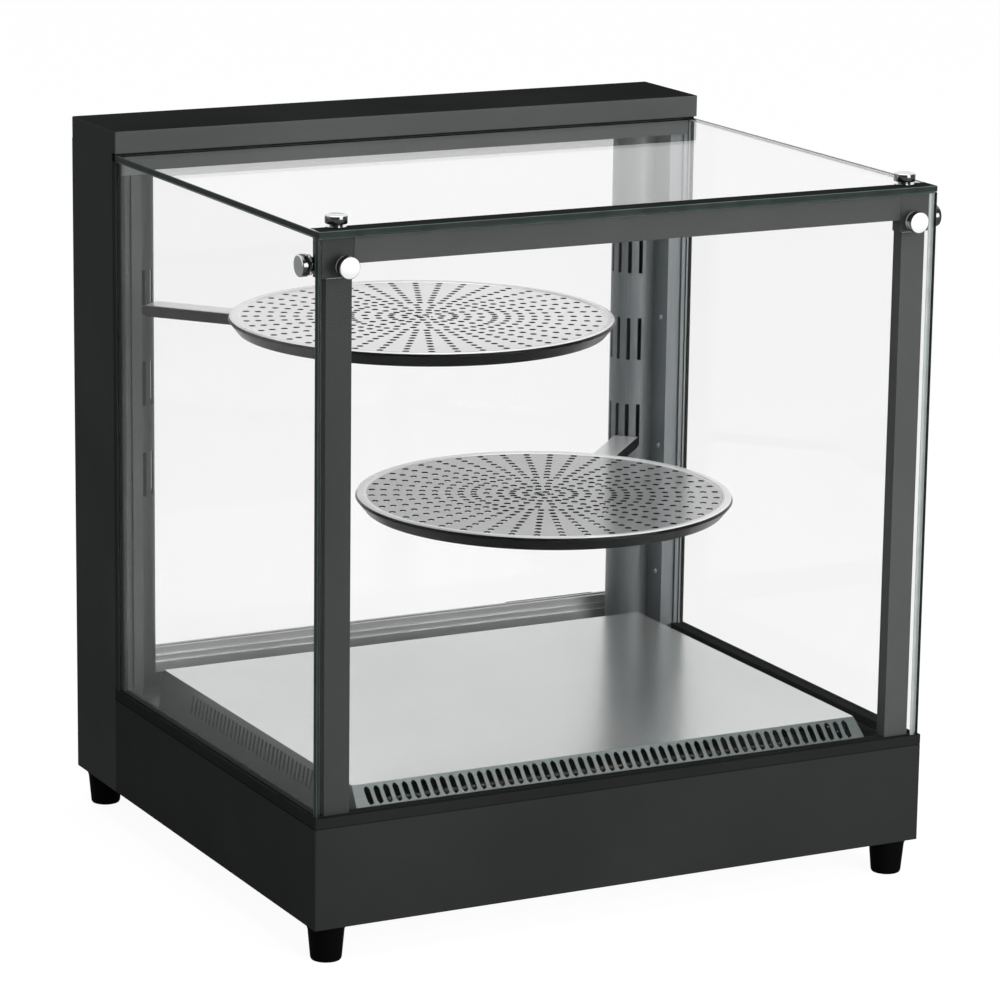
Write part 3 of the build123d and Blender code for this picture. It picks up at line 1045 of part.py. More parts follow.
def make_arm(side, angle, reach, slot_z):
    """Folded channel from a post's slots to just past its plate's middle."""
    along = (-side * cos(radians(angle)), -sin(radians(angle)), 0)
    across = (-along[1], along[0], 0)
    post = Vector(side * POST_CENTRE_X, POST_ROUND_Y, slot_z)
    top = Vector(0, 0, ARM_RISE)
    nose = POST_R + ARM_NOSE
    with BuildPart() as arm:
        with BuildSketch(Plane(origin=post + top + Vector(*along) * nose, x_dir=across, z_dir=along)):
            with Locations((0, 0)):
                Rectangle(ARM_WIDTH, ARM_DEPTH, align=(Align.CENTER, Align.MAX))
            with Locations((0, -ARM_SHEET)):
                Rectangle(ARM_WIDTH - 2 * ARM_SHEET, ARM_DEPTH, align=(Align.CENTER, Align.MAX),
                          mode=Mode.SUBTRACT)
        extrude(amount=reach + ARM_TIP - nose)
        fillet(arm.edges().filter_by(Axis(origin=(0, 0, 0), direction=along)).group_by(Axis.Z)[-1],
               radius=ARM_SHEET)
        # plate that closes the end against the post
        with BuildSketch(Plane(origin=post + top + Vector(*along) * nose, x_dir=across, z_dir=along)):
            Rectangle(ARM_WIDTH - 2 * ARM_SHEET, ARM_DEPTH, align=(Align.CENTER, Align.MAX))
        extrude(amount=ARM_SHEET)
        inner = sqrt((POST_R - SHEET) ** 2 - (HOOK_OFFSET + HOOK / 2) ** 2) - LIFT_GAP
        for offset_side in (-1, 1):
            origin = post + Vector(*across) * (offset_side * HOOK_OFFSET + HOOK / 2)
            with BuildSketch(Plane(origin=origin, x_dir=along, z_dir=(along[1], -along[0], 0))):
                with BuildLine():
                    Polyline((inner - HOOK_TOOTH, -HOOK_DROP), (inner, -HOOK_DROP), (inner, LIFT_GAP),
                             (nose + HOOK_ROOT, LIFT_GAP), (nose + HOOK_ROOT, ARM_RISE - ARM_SHEET),
                             (inner - HOOK_TOOTH, ARM_RISE - ARM_SHEET), close=True)
                make_face()
            extrude(amount=HOOK)
        with BuildSketch(Plane(origin=post + top + Vector(*along) * reach, z_dir=(0, 0, 1))):
            Circle(SEAT_R)
        extrude(amount=SEAT_HEIGHT)
        with BuildSketch(Plane(origin=post + top + Vector(*along) * reach, z_dir=(0, 0, 1))):
            Circle(SEAT_R - SEAT_WALL)
        extrude(amount=SEAT_HEIGHT - SEAT_WALL, mode=Mode.SUBTRACT)
    return arm.part


UPPER_SLOT_Z = BASE_Z + LOWEST_SLOT + (SLOT_GROUPS - 1) * SLOT_PITCH
LOWER_SLOT_Z = BASE_Z + LOWEST_SLOT
save(make_arm(-1, UPPER_ANGLE, UPPER_REACH, UPPER_SLOT_Z), "arm_upper")
save(make_arm(1, LOWER_ANGLE, LOWER_REACH, LOWER_SLOT_Z), "arm_lower")

# Plates: shallow inverted pans with a raised edge and a pierced floor

FLOOR_TOP = PLATE_HEIGHT - BEAD_RISE
with BuildPart() as pierced_plate:
    with BuildSketch(Plane.XZ):
        with BuildLine():
            Polyline((PLATE_BASE_R, 0), (PLATE_R, PLATE_HEIGHT - 2.2),
                     (PLATE_R - 0.7, PLATE_HEIGHT - 0.7), (PLATE_R - 2.2, PLATE_HEIGHT),
                     (PLATE_FLOOR_R + 2.5, PLATE_HEIGHT),
                     (PLATE_FLOOR_R, FLOOR_TOP), (0, FLOOR_TOP), (0, FLOOR_TOP - PLATE_SHEET),
                     (PLATE_FLOOR_R + 0.4, FLOOR_TOP - PLATE_SHEET),
                     (PLATE_FLOOR_R + 2.9, PLATE_HEIGHT - PLATE_SHEET),
                     (PLATE_R - 2.4, PLATE_HEIGHT - PLATE_SHEET),
                     (PLATE_R - 1.2 * PLATE_SHEET, PLATE_HEIGHT - 2.6),
                     (PLATE_BASE_R - 1.2 * PLATE_SHEET, 0), (PLATE_BASE_R, 0))
        make_face()
    revolve(axis=Axis.Z)
    with BuildSketch(Plane.XY.offset(FLOOR_TOP)):
        for ring in range(HOLE_RINGS):
            radius = LAST_RING - ring * RING_PITCH
            spokes = HOLE_SPOKES if ring < 3 else HOLE_SPOKES // 2
            with PolarLocations(radius, spokes):
                RegularPolygon(radius=HOLE_R, side_count=6)
    extrude(amount=-PLATE_SHEET, mode=Mode.SUBTRACT)


def place_plate(side, angle, reach, slot_z):
    """A pierced plate on the seat of one arm."""
    spot = (side * (POST_CENTRE_X - reach * cos(radians(angle))),
            POST_ROUND_Y - reach * sin(radians(angle)), slot_z + ARM_RISE + SEAT_GAP)
    with BuildPart() as plate:
        with Locations(spot):
            add(pierced_plate.part)
    print("plate middle", [round(value, 2) for value in spot])
    return plate.part


save(place_plate(-1, UPPER_ANGLE, UPPER_REACH, UPPER_SLOT_Z), "plate_upper")
save(place_plate(1, LOWER_ANGLE, LOWER_REACH, LOWER_SLOT_Z), "plate_lower")
print("front", round(FRONT, 3), "back", round(BACK, 3), "top", TOP_Z)
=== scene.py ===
# %% [markdown]
# A heated display case for a shop counter: a folded black steel base with a heater in it,
# a glass cube on the base, a black header across the back and two round pierced plates
# on hooked arms. The CAD model gives every solid in its place. This lesson gives them
# their finishes, and models again the few pieces whose look needs more than the solid.

# %% Load the CAD frame
import math

import bmesh
import bpy
from mathutils import Matrix, Vector


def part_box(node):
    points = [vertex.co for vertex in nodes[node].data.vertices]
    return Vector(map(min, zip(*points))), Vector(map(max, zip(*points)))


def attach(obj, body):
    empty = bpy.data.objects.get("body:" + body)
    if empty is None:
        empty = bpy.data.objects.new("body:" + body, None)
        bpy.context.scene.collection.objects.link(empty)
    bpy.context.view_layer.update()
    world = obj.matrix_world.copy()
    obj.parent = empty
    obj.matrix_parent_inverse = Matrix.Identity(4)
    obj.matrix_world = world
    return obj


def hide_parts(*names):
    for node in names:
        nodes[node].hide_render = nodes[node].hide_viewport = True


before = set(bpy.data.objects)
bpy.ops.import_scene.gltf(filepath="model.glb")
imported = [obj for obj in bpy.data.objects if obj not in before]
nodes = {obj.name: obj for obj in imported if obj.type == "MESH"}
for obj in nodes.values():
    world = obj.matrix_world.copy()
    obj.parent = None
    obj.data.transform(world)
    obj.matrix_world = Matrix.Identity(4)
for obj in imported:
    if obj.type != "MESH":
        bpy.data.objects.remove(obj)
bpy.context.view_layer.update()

# %% [markdown]
# The camera stands where the photographer stood: to the left of the case's middle, a
# little above it and a long way off, so the edges hardly converge. The place comes from
# matching a dozen corners of the case, by least squares.

# %% Place the camera
PHOTO_SIZE = 1000
FOCAL_PIXELS = 4396.9
SENSOR = 36.0
AZIMUTH = math.radians(27.496)
PITCH = math.radians(13.5)
ROLL = math.radians(0.78)
CAMERA_AT = Vector((-2.05735, -3.97607, 1.44106))

ahead = Vector((math.sin(AZIMUTH) * math.cos(PITCH), math.cos(AZIMUTH) * math.cos(PITCH),
                -math.sin(PITCH)))
level_right = Vector((math.cos(AZIMUTH), -math.sin(AZIMUTH), 0))
level_up = level_right.cross(ahead)
right = math.cos(ROLL) * level_right + math.sin(ROLL) * level_up
up = math.cos(ROLL) * level_up - math.sin(ROLL) * level_right

camera = bpy.data.objects.new("camera", bpy.data.cameras.new("camera"))
bpy.context.scene.collection.objects.link(camera)
camera.data.sensor_width = SENSOR
camera.data.lens = FOCAL_PIXELS / PHOTO_SIZE * SENSOR
camera.data.clip_start = 0.05
camera.data.clip_end = 100
camera.matrix_world = Matrix.Translation(CAMERA_AT) @ Matrix(
    ((right.x, up.x, -ahead.x), (right.y, up.y, -ahead.y), (right.z, up.z, -ahead.z))).to_4x4()
bpy.context.scene.camera = camera
print(f"lens {camera.data.lens:.1f} mm, {CAMERA_AT.length:.2f} m from the case")

# %% [markdown]
# Every finish below is a node material. A few small helpers carry all of them: one turns
# a hex colour into the linear values that Blender works in, one adds a node with its
# settings and its links, and the rest are the short chains that most finishes share.

# %% Helpers for colours and nodes


def linear(hexa):
    """The linear RGBA of an sRGB hex colour."""
    parts = [int(hexa[i:i + 2], 16) / 255 for i in (1, 3, 5)]
    return [c / 12.92 if c <= 0.04045 else ((c + 0.055) / 1.055) ** 2.4 for c in parts] + [1.0]


def add(tree, kind, inputs=None, **settings):
    """Adds a node. An input is a plain value, or another node's output that is linked."""
    made = tree.nodes.new(kind)
    for name, value in settings.items():
        setattr(made, name, value)
    for socket, value in (inputs or {}).items():
        if isinstance(value, bpy.types.NodeSocket):
            tree.links.new(value, made.inputs[socket])
        else:
            made.inputs[socket].default_value = value
    return made


def blank(name):
    """A material, its emptied node tree and the object coordinates that finishes use."""
    material = bpy.data.materials.new(name)
    material.use_nodes = True
    tree = material.node_tree
    tree.nodes.clear()
    return material, tree, add(tree, "ShaderNodeTexCoord").outputs["Object"]


def close(tree, shader, kind="ShaderNodeOutputMaterial"):
    """Ends a node tree with one shader."""
    tree.links.new(shader, add(tree, kind).inputs["Surface"])


def principled(tree, inputs):
    """Ends a material's tree with one Principled shader."""
    close(tree, add(tree, "ShaderNodeBsdfPrincipled", inputs).outputs["BSDF"])


def noise(tree, place, size, detail):
    """The value of a noise that repeats about every size metres."""
    return add(tree, "ShaderNodeTexNoise",
               {"Vector": place, "Scale": 1 / size, "Detail": detail}).outputs["Fac"]


def ramp(tree, value, dark, light, start=0.0, end=1.0):
    """The colour between two hex colours that a value picks."""
    made = add(tree, "ShaderNodeValToRGB", {"Fac": value})
    for element, spot, shade in zip(made.color_ramp.elements, (start, end), (dark, light)):
        element.position = spot
        element.color = linear(shade)
    return made.outputs["Color"]


def spread(tree, value, middle, reach):
    """A value carried from 0 to 1 over to a middle value less or more its reach."""
    return add(tree, "ShaderNodeMapRange", {"Value": value, "To Min": middle - reach,
                                            "To Max": middle + reach}).outputs["Result"]


def blend(tree, share, first, second):
    """A mix of two values with the given share of the second."""
    return add(tree, "ShaderNodeMix", {"Factor": share, "A": first, "B": second},
               data_type="FLOAT").outputs["Result"]


def relief(tree, height, strength, depth):
    """A normal that follows a height, where 1 stands depth metres above 0."""
    return add(tree, "ShaderNodeBump", {"Height": height, "Strength": strength,
                                        "Distance": depth}).outputs["Normal"]


print("mid grey as written:", [round(c, 4) for c in linear("#808080")])

# %% [markdown]
# Most of the case is sheet steel with a fine-textured black powder coat. Its grains
# scatter the light so well that even a flat view along the top gives a deep, matt black.
# The coat is a dark dielectric with next to no gloss, an orange peel about a millimetre
# across, and a slow change of tone where hands have wiped it.

# %% Black powder coat
PEEL = 0.0018                # m, from one grain of the coat to the next but one
WIPED = 0.18                 # m, the breadth of a wiped patch


def powder_coat(name, dark, light, roughness, gloss=0.0):
    """Satin powder coat with an orange peel."""
    material, tree, place = blank(name)
    cloud = noise(tree, place, WIPED, 3.0)
    peel = noise(tree, place, PEEL, 2.0)
    principled(tree, {"Base Color": ramp(tree, cloud, dark, light, 0.35, 0.65),
                      "Roughness": spread(tree, cloud, roughness, 0.05),
                      "Normal": relief(tree, peel, 0.05, 0.0002), "Specular IOR Level": gloss})
    return material


black_coat = powder_coat("powder_coated_steel_black", "#313232", "#353636", 0.6)
# the same black coat painted lighter: painted light on the side panels and on the header cap's
# sides
painted_lit_side_coat = powder_coat("powder_coated_black_painted_light_sides", "#3e403f", "#444646", 0.6)
# darker black: the trim's own coat, and painted shade on the header cap's top
black_trim_and_top_shade = powder_coat("powder_coated_trim_black_and_painted_top_shade", "#262727", "#2b2c2c", 0.5)
black_border = powder_coat("enamelled_border_black", "#434444", "#484949", 0.5, 0.01)
# the same enamel painted lighter: painted light on the right post, the rail and the right corner
lit_border = powder_coat("enamelled_border_black_in_light", "#545555", "#5a5b5b", 0.5, 0.01)
# lighter copies of the black coat: painted light on the fronts of the header cap and the header
# band
painted_lit_header_front = powder_coat("powder_coated_black_painted_light_header_front", "#575858", "#5c5d5d", 0.55, 0.01)
painted_lit_band_front = powder_coat("powder_coated_black_painted_light_band_front", "#6e7070", "#747676", 0.55, 0.01)
arm_flange = powder_coat("plated_steel_arm_dark", "#232424", "#2a2b2b", 0.5)
print("powder coats:", black_coat.name, black_trim_and_top_shade.name, black_border.name)

# %% [markdown]
# Rubber feet and seals are black with carbon and have no shine. Switch bodies, the dial
# and the gland are glass-filled nylon, moulded against a spark-eroded tool, which leaves
# a fine even grain. Both are dielectrics, and only grain and roughness tell them apart.

# %% Rubber and moulded plastic


def moulded(name, dark, light, roughness, grain_mm, bump, gloss=0.3):
    """Moulded rubber or plastic with an eroded grain of the given size."""
    material, tree, place = blank(name)
    grain = noise(tree, place, 2 * grain_mm / 1000, 4.0)
    principled(tree, {"Base Color": ramp(tree, grain, dark, light, 0.3, 0.7),
                      "Roughness": spread(tree, grain, roughness, 0.06),
                      "Normal": relief(tree, grain, bump, 0.0002), "Specular IOR Level": gloss})
    return material


seal_rubber = moulded("epdm_rubber_seal", "#1d1e1d", "#262726", 0.7, 0.6, 0.2, 0.05)
foot_rubber = moulded("nitrile_rubber_foot", "#070807", "#0d0e0d", 0.62, 0.8, 0.3, 0.02)
black_nylon = moulded("moulded_nylon_black", "#1e1f1f", "#272828", 0.45, 0.5, 0.25)
white_board = moulded("terminal_board_white", "#cfcfca", "#dcdcd8", 0.6, 0.7, 0.15)
ink = moulded("screen_print_ink_black", "#141515", "#1d1e1e", 0.6, 0.4, 0.05, 0.05)
print("moulded finishes:", seal_rubber.name, foot_rubber.name, black_nylon.name)

# %% [markdown]
# The bare metals differ in their base colour, their roughness and the way they were
# rubbed. Rolled or brushed sheet has a fine grain along one direction: a noise that is
# stretched many times along that axis draws it. The real scratches are some 0.05 mm
# apart, too fine for this picture, so they are drawn at 0.5 to 0.8 mm. A satin metal
# takes part of its light as a dull surface does, so it is given less than full metal.

# %% Brushed and rolled metal
STRETCH = 0.02               # how fast the grain changes along its own direction


def brushed(name, dark, light, roughness, along, scratch_mm=0.5, metallic=1.0):
    """Sheet or extrusion rubbed along one axis (0 = X, 1 = Y, 2 = Z)."""
    material, tree, place = blank(name)
    scale = [STRETCH if axis == along else 1.0 for axis in range(3)]
    drawn = add(tree, "ShaderNodeMapping", {"Vector": place, "Scale": scale}).outputs["Vector"]
    lines = noise(tree, drawn, 2 * scratch_mm / 1000, 3.0)
    both = blend(tree, 0.35, lines, noise(tree, place, 0.12, 2.0))
    principled(tree, {"Base Color": ramp(tree, both, dark, light, 0.35, 0.65),
                      "Roughness": spread(tree, both, roughness, 0.05),
                      "Normal": relief(tree, lines, 0.04, 0.0001), "Metallic": metallic})
    return material


deck_steel = brushed("stainless_steel_deck_satin", "#d6d8d7", "#dfe1e0", 0.24, 0, metallic=0.75)
# darker copies of the deck's stainless steel: painted shade on its front flange, its skirts and
# its vent walls
shaded_flange_steel = brushed("stainless_steel_flange_painted_shade", "#7d8785", "#8b9492", 0.34, 0, metallic=0.6)
shaded_skirt_steel = brushed("stainless_steel_skirt_painted_shade", "#6a7371", "#757e7b", 0.4, 0, metallic=0.5)
vent_shade = brushed("stainless_steel_vent_shaded", "#363c3d", "#404647", 0.5, 0, metallic=0.6)
zinc_sheet = brushed("galvanised_sheet", "#a9adab", "#b9bcba", 0.42, 0, 0.8)
# galvanised sheet darkened as painted shade, for the tray seen in the dark through the vents
shaded_tray_sheet = brushed("galvanised_sheet_painted_shade", "#454949", "#505454", 0.5, 0, 0.8)
bright_aluminium = brushed("anodised_aluminium_bright", "#b4b6b6", "#c2c4c4", 0.32, 0)
rail_aluminium = brushed("anodised_aluminium_rail", "#c6c7c7", "#d0d1d1", 0.34, 0, metallic=0.4)
# the two slotted posts are one plated steel: the right one painted lighter as painted light, the
# left one darker as painted shade
post_right = brushed("plated_steel_post_painted_light", "#757a7c", "#83888a", 0.5, 2, metallic=0.4)
post_left = brushed("plated_steel_post_painted_shade", "#2d3231", "#373c3b", 0.5, 2, metallic=0.5)
# a lighter copy of the arms' steel: painted light on their tops
painted_lit_arm_top = brushed("plated_steel_arm_painted_light_top", "#e6e8e8", "#f0f2f1", 0.3, 0, metallic=0.5)
control_face = brushed("stainless_steel_panel", "#b6b8b7", "#c4c6c5", 0.34, 0)
element_steel = brushed("oxidised_element_sheath", "#4a4641", "#5c564f", 0.5, 0, 0.8)
brass = brushed("turned_brass", "#b08d4c", "#c19d5b", 0.3, 0)
print("metals:", deck_steel.name, post_right.name, painted_lit_arm_top.name)

# %% [markdown]
# Screws are zinc plated and the knobs are chrome over turned brass. Their finish has no
# direction: a light mottling of the roughness is all that the eye gets.

# %% Plated fasteners and chrome


def plated(name, dark, light, roughness, mottle_mm, metallic=1.0):
    """Plated metal without a grain."""
    material, tree, place = blank(name)
    mottle = noise(tree, place, 2 * mottle_mm / 1000, 3.0)
    principled(tree, {"Base Color": ramp(tree, mottle, dark, light),
                      "Roughness": spread(tree, mottle, roughness, 0.3 * roughness),
                      "Metallic": metallic})
    return material


zinc = plated("zinc_plated_screw", "#a4a6a5", "#c6c8c7", 0.3, 3.0)
chrome = plated("chrome_plated_brass", "#d2d3d4", "#e2e3e4", 0.1, 6.0)
# darker and lighter copies of the chrome: painted shade on the knobs' sides, a painted highlight
# on the front knobs' faces
chrome_shaded_side = plated("chrome_plated_painted_shade_side", "#6d6f70", "#7c7e7f", 0.16, 6.0)
chrome_lit_face = plated("chrome_plated_painted_highlight_face", "#f2f2f2", "#f8f8f8", 0.35, 6.0, 0.2)
print("plated:", zinc.name, chrome.name)

# %% [markdown]
# The panes are clear float glass, toughened. A pane looks colourless through its face and
# dark green along its polished edge, because light there travels a long way through the
# glass. Its faces are a dielectric, but with an index well under the real 1.52: the case
# was lit so that its panes mirror next to nothing, and a low index has the same effect
# from any side. Its edge and its ground arris are nearly opaque greens instead of a true
# depth of glass, which stays clean with few samples. Shadow rays and the soft light that
# reaches the inside pass straight through.

# %% Clear glass
PANE_INDEX = 1.13
glass, tree, place = blank("float_glass_clear")
haze = noise(tree, place, 0.15, 3.0)
pane = add(tree, "ShaderNodeBsdfPrincipled",
           {"Base Color": ramp(tree, haze, "#f8f8f8", "#fafafa"), "Roughness": 0.0,
            "IOR": PANE_INDEX, "Transmission Weight": 1.0})
clear = add(tree, "ShaderNodeBsdfTransparent", {"Color": linear("#fbfbfb")})
ray = add(tree, "ShaderNodeLightPath")
soft = add(tree, "ShaderNodeMath", {0: ray.outputs["Is Shadow Ray"],
                                    1: ray.outputs["Is Diffuse Ray"]}, operation="MAXIMUM")
mixed = add(tree, "ShaderNodeMixShader", {"Fac": soft.outputs["Value"], 1: pane.outputs["BSDF"],
                                          2: clear.outputs["BSDF"]})
close(tree, mixed.outputs["Shader"])
print("glass:", glass.name)

# %% Edges of the glass


def glass_edge(name, dark, light, roughness):
    """Polished or ground edge of a pane, drawn along with faint waves of the grinding."""
    material, tree, place = blank(name)
    waves = noise(tree, place, 0.02, 2.0)
    principled(tree, {"Base Color": ramp(tree, waves, dark, light, 0.3, 0.7),
                      "Roughness": roughness, "Specular IOR Level": 0.1})
    return material


glass_side = glass_edge("float_glass_polished_edge", "#222927", "#2b3431", 0.3)
glass_arris = glass_edge("float_glass_ground_arris", "#4c5d59", "#5c6d69", 0.6)
# a lighter copy of the edge: painted light on the right pane's edge and arris
lit_glass_edge = glass_edge("float_glass_edge_painted_light", "#c3ccca", "#d3dbd9", 0.4)
print("glass edges:", glass_side.name, glass_arris.name, lit_glass_edge.name)

# %% [markdown]
# Lenses and rockers of the switches are dyed acrylic and polycarbonate: smooth, with
# a little light inside them. The lamp's cover is opal acrylic.

# %% Coloured and opal plastic


def dyed(name, dark, light, roughness, depth_mm):
    """Smooth dyed plastic with some light below its surface."""
    material, tree, place = blank(name)
    cloud = noise(tree, place, 1 / 150, 2.0)
    principled(tree, {"Base Color": ramp(tree, cloud, dark, light), "Roughness": roughness,
                      "Subsurface Weight": 0.4, "Subsurface Scale": depth_mm / 1000})
    return material


opal = dyed("opal_acrylic_diffuser", "#e6e6e1", "#f2f2ee", 0.35, 2.0)
red_lens = dyed("dyed_polycarbonate_red", "#a81410", "#c01c16", 0.22, 1.0)
green_lens = dyed("dyed_polycarbonate_green", "#1c7a33", "#24903e", 0.22, 1.0)
amber_lens = dyed("dyed_acrylic_amber", "#d9751a", "#eb8a26", 0.18, 1.5)
print("dyed plastics:", opal.name, red_lens.name, green_lens.name, amber_lens.name)

# %% [markdown]
# Each CAD node now takes its finish. The list is by node, because a node is one kind of
# real piece, and the line that it prints says if any was forgotten.

# %% Give every CAD node its finish
FINISHES = {
    black_coat: ["base_housing", "header_band", "header_cap", "glass_channel_left",
                 "glass_channel_right"],
    painted_lit_side_coat: ["side_panel_left", "side_panel_right"],
    black_trim_and_top_shade: ["base_trim", "door_pull"],
    black_border: ["border_post_left", "corner_block_left"],
    lit_border: ["border_post_right", "border_rail", "corner_block_right"],
    seal_rubber: ["roof_seal"],
    foot_rubber: ["rubber_feet"],
    black_nylon: ["cable_gland", "fan_frame", "fan_rotor", "heater_switch_frame",
                  "lamp_switch_frame", "thermostat_body", "thermostat_dial", "door_catch"],
    zinc: ["column_screws", "foot_screws", "panel_screws"],
    zinc_sheet: ["bottom_plate", "lamp_channel"],
    shaded_tray_sheet: ["plenum_tray"],
    deck_steel: ["deck_plate"],
    rail_aluminium: ["rear_sill", "door_top_rail", "door_bottom_rail"],
    post_left: ["slotted_post_left"],
    post_right: ["slotted_post_right"],
    arm_flange: ["arm_upper", "arm_lower", "pivot_block"],
    bright_aluminium: ["plate_upper", "plate_lower"],
    control_face: ["control_panel"],
    element_steel: ["heating_element", "element_supports"],
    brass: ["sensor_bulb"],
    white_board: ["terminal_block", "led_strip"],
    opal: ["lamp_diffuser"],
    chrome: ["glass_knobs"],
    glass: ["front_glass", "side_glass_left", "side_glass_right", "roof_glass", "door_glass"],
    red_lens: ["heater_rocker"],
    green_lens: ["lamp_rocker"],
    amber_lens: ["pilot_lamp"],
}
for material, names in FINISHES.items():
    for name in names:
        slots = nodes[name].data.materials
        slots.clear()
        slots.append(material)
        for face in nodes[name].data.polygons:
            face.material_index = 0
unfinished = set(nodes) - {name for names in FINISHES.values() for name in names}
print("nodes without a finish:", sorted(unfinished))

# %% [markdown]
# Some nodes show two finishes. The arms' tops take a lighter copy of their metal as painted
# light, and the deck's folds, front flange and vent walls take darker copies as painted shade,
# and a pane's edges differ from its faces. Which face takes which finish is read from the way
# that it looks: a part of a face's normal near 1 means that it looks that way, and near 0 that it
# is seen edge on.

# %% Second finishes by the way a face looks
FLAT = 0.9                  # looks straight along an axis
MOSTLY = 0.7                # looks that way more than any other
SLOPING = 0.5               # no less than the slope of the deck's front flange
LEANING = 0.1               # no less than the lean of the deck's skirts
EDGE_ON = 0.2               # a pane's polished edge
ARRIS = 0.95                # a pane's ground arris, and above it the pane's face
VENT_WALL = 6e-5            # m2, more than the largest face of a vent's wall


def second_finish(node, material, belongs):
    """Gives one more finish to the faces that pass the test."""
    data = nodes[node].data
    data.materials.append(material)
    picked = 0
    for face in data.polygons:
        if belongs(face):
            face.material_index = len(data.materials) - 1
            picked += 1
    print(f"{node}: {picked} faces take {material.name}")


def in_vent(face):
    """True on the thin wall of a vent, which no fold of the deck faces."""
    x, y, z = face.normal
    top, side = z > FLAT, abs(x) > FLAT and abs(z) > LEANING
    front = y < -SLOPING and z > SLOPING
    return face.area < VENT_WALL and not (top or side or front)


# the arms' tops take painted light
for node in ("arm_upper", "arm_lower"):
    second_finish(node, painted_lit_arm_top, lambda face: face.normal.z > MOSTLY)
# the deck's folds, then its front flange and its vent walls, take painted shade
second_finish("deck_plate", shaded_skirt_steel, lambda face: face.normal.z < FLAT)
second_finish("deck_plate", shaded_flange_steel, lambda face: SLOPING < face.normal.z < FLAT)
second_finish("deck_plate", vent_shade, in_vent)
# the header cap's front and sides take painted light and its top takes painted shade; the band's
# front takes painted light
second_finish("header_cap", painted_lit_header_front, lambda face: face.normal.y < -MOSTLY)
second_finish("header_cap", black_trim_and_top_shade, lambda face: face.normal.z > FLAT)
second_finish("header_cap", painted_lit_side_coat, lambda face: abs(face.normal.x) > MOSTLY)
second_finish("header_band", painted_lit_band_front, lambda face: face.normal.y < -MOSTLY)
for node in FINISHES[glass]:
    low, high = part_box(node)
    thin = min(range(3), key=lambda i: high[i] - low[i])
    # the right pane's edge and arris take painted light
    edge, arris = (lit_glass_edge,) * 2 if node == "side_glass_right" else (glass_side, glass_arris)
    second_finish(node, edge, lambda face: abs(face.normal[thin]) < EDGE_ON)
    second_finish(node, arris, lambda face: EDGE_ON <= abs(face.normal[thin]) < ARRIS)

# %% [markdown]
# The pieces that are modelled again are built as bmeshes. Two helpers serve them all:
# one joins a part to a whole, the other makes the finished bmesh an object of the scene.

# %% Helpers for modelled pieces


def join(whole, part):
    """Adds a bmesh's geometry to another and frees it."""
    data = bpy.data.meshes.new("part")
    part.to_mesh(data)
    part.free()
    whole.from_mesh(data)
    bpy.data.meshes.remove(data)


def new_piece(name, mesh, *materials):
    """An object of the scene made from a bmesh, which is freed."""
    data = bpy.data.meshes.new(name)
    mesh.to_mesh(data)
    mesh.free()
    for material in materials:
        data.materials.append(material)
    piece = bpy.data.objects.new(name, data)
    bpy.context.scene.collection.objects.link(piece)
    print(f"{name}: {len(data.polygons)} faces")
    return piece


# %% [markdown]
# The two plates are the case's own: a sheet of aluminium, spun to a flat floor with
# a raised bead and a short tapered skirt, and pierced all over with small holes on
# radial lines. The solid has only some of the holes, so the plate is modelled again.
# One slice of each ring is drawn as a cell, a hole bridged to the cell's border, and the
# cell is then copied round the axis. That keeps every hole on its line.

# %% Measure the plates
PLATE_HOLE = 0.0037
PLATE_SHEET = 0.00145
HUB = 0.0012                # radius of the small disc in the very middle
FIRST_RING = 0.0063
LAST_RING = 0.1813
HOLES_IN_RING = [4, 11, 22, 22, 22] + [44] * 9
RING_PITCH = (LAST_RING - FIRST_RING) / (len(HOLES_IN_RING) - 1)
FLOOR_EDGE = 0.1856
BORDER_STEPS = 176
BEAD_TOP, LIP_DROP = 0.0013, 0.0007
BEAD = [(0.1862, 0.0), (0.1874, 0.0009), (0.1890, BEAD_TOP), (0.1932, BEAD_TOP), (0.1946, 0.0007)]
SKIRT_FOOT, SKIRT_FROM = 0.1868, 0.1870
plate_spots = {}
for name in ("plate_upper", "plate_lower"):
    low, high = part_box(name)
    plate_spots[name] = (Vector(((low.x + high.x) / 2, (low.y + high.y) / 2, low.z)),
                         (high.x - low.x) / 2, high.z - low.z)
    print(name, [round(c * 1000, 1) for c in plate_spots[name][0]],
          f"radius {plate_spots[name][1] * 1000:.1f} mm, {sum(HOLES_IN_RING)} holes")

# %% Draw one cell of the floor


def cell(mesh, near, far, sweep, steps, hole):
    """One cell of a ring, between two radii and over one sweep, with a hole in its middle."""
    border = []
    for radius, first, last in ((near, 0, 1), (far, 1, 0)):
        for i in range(steps + 1):
            turn = sweep * (first + (last - first) * i / steps)
            border.append((radius * math.cos(turn), radius * math.sin(turn), 0))
    middle = Vector((math.cos(sweep / 2), math.sin(sweep / 2), 0)) * (near + far) / 2
    outer = [mesh.verts.new(spot) for spot in border]
    edges = [mesh.edges.new((outer[i - 1], outer[i])) for i in range(len(outer))]
    ring = bmesh.ops.create_circle(mesh, segments=len(outer), radius=hole)["verts"]
    bearing = math.atan2(border[0][1] - middle.y, border[0][0] - middle.x)
    bmesh.ops.transform(mesh, verts=ring, matrix=Matrix.Translation(middle)
                        @ Matrix.Rotation(bearing, 4, "Z"))
    rim = list({edge for vert in ring for edge in vert.link_edges})
    bmesh.ops.bridge_loops(mesh, edges=edges + rim)


trial = bmesh.new()
cell(trial, 0.10, 0.114, math.tau / 44, 5, PLATE_HOLE)
print(f"a cell has {len(trial.faces)} faces round its hole")
trial.free()

# %% [markdown]
# Round the floor come the bead and the skirt. Their profile is drawn out of the floor's
# rim, one step after another, and the whole sheet is then given its thickness.

# %% Build a plate
WELD = 2e-5                 # m, verts nearer than this are one


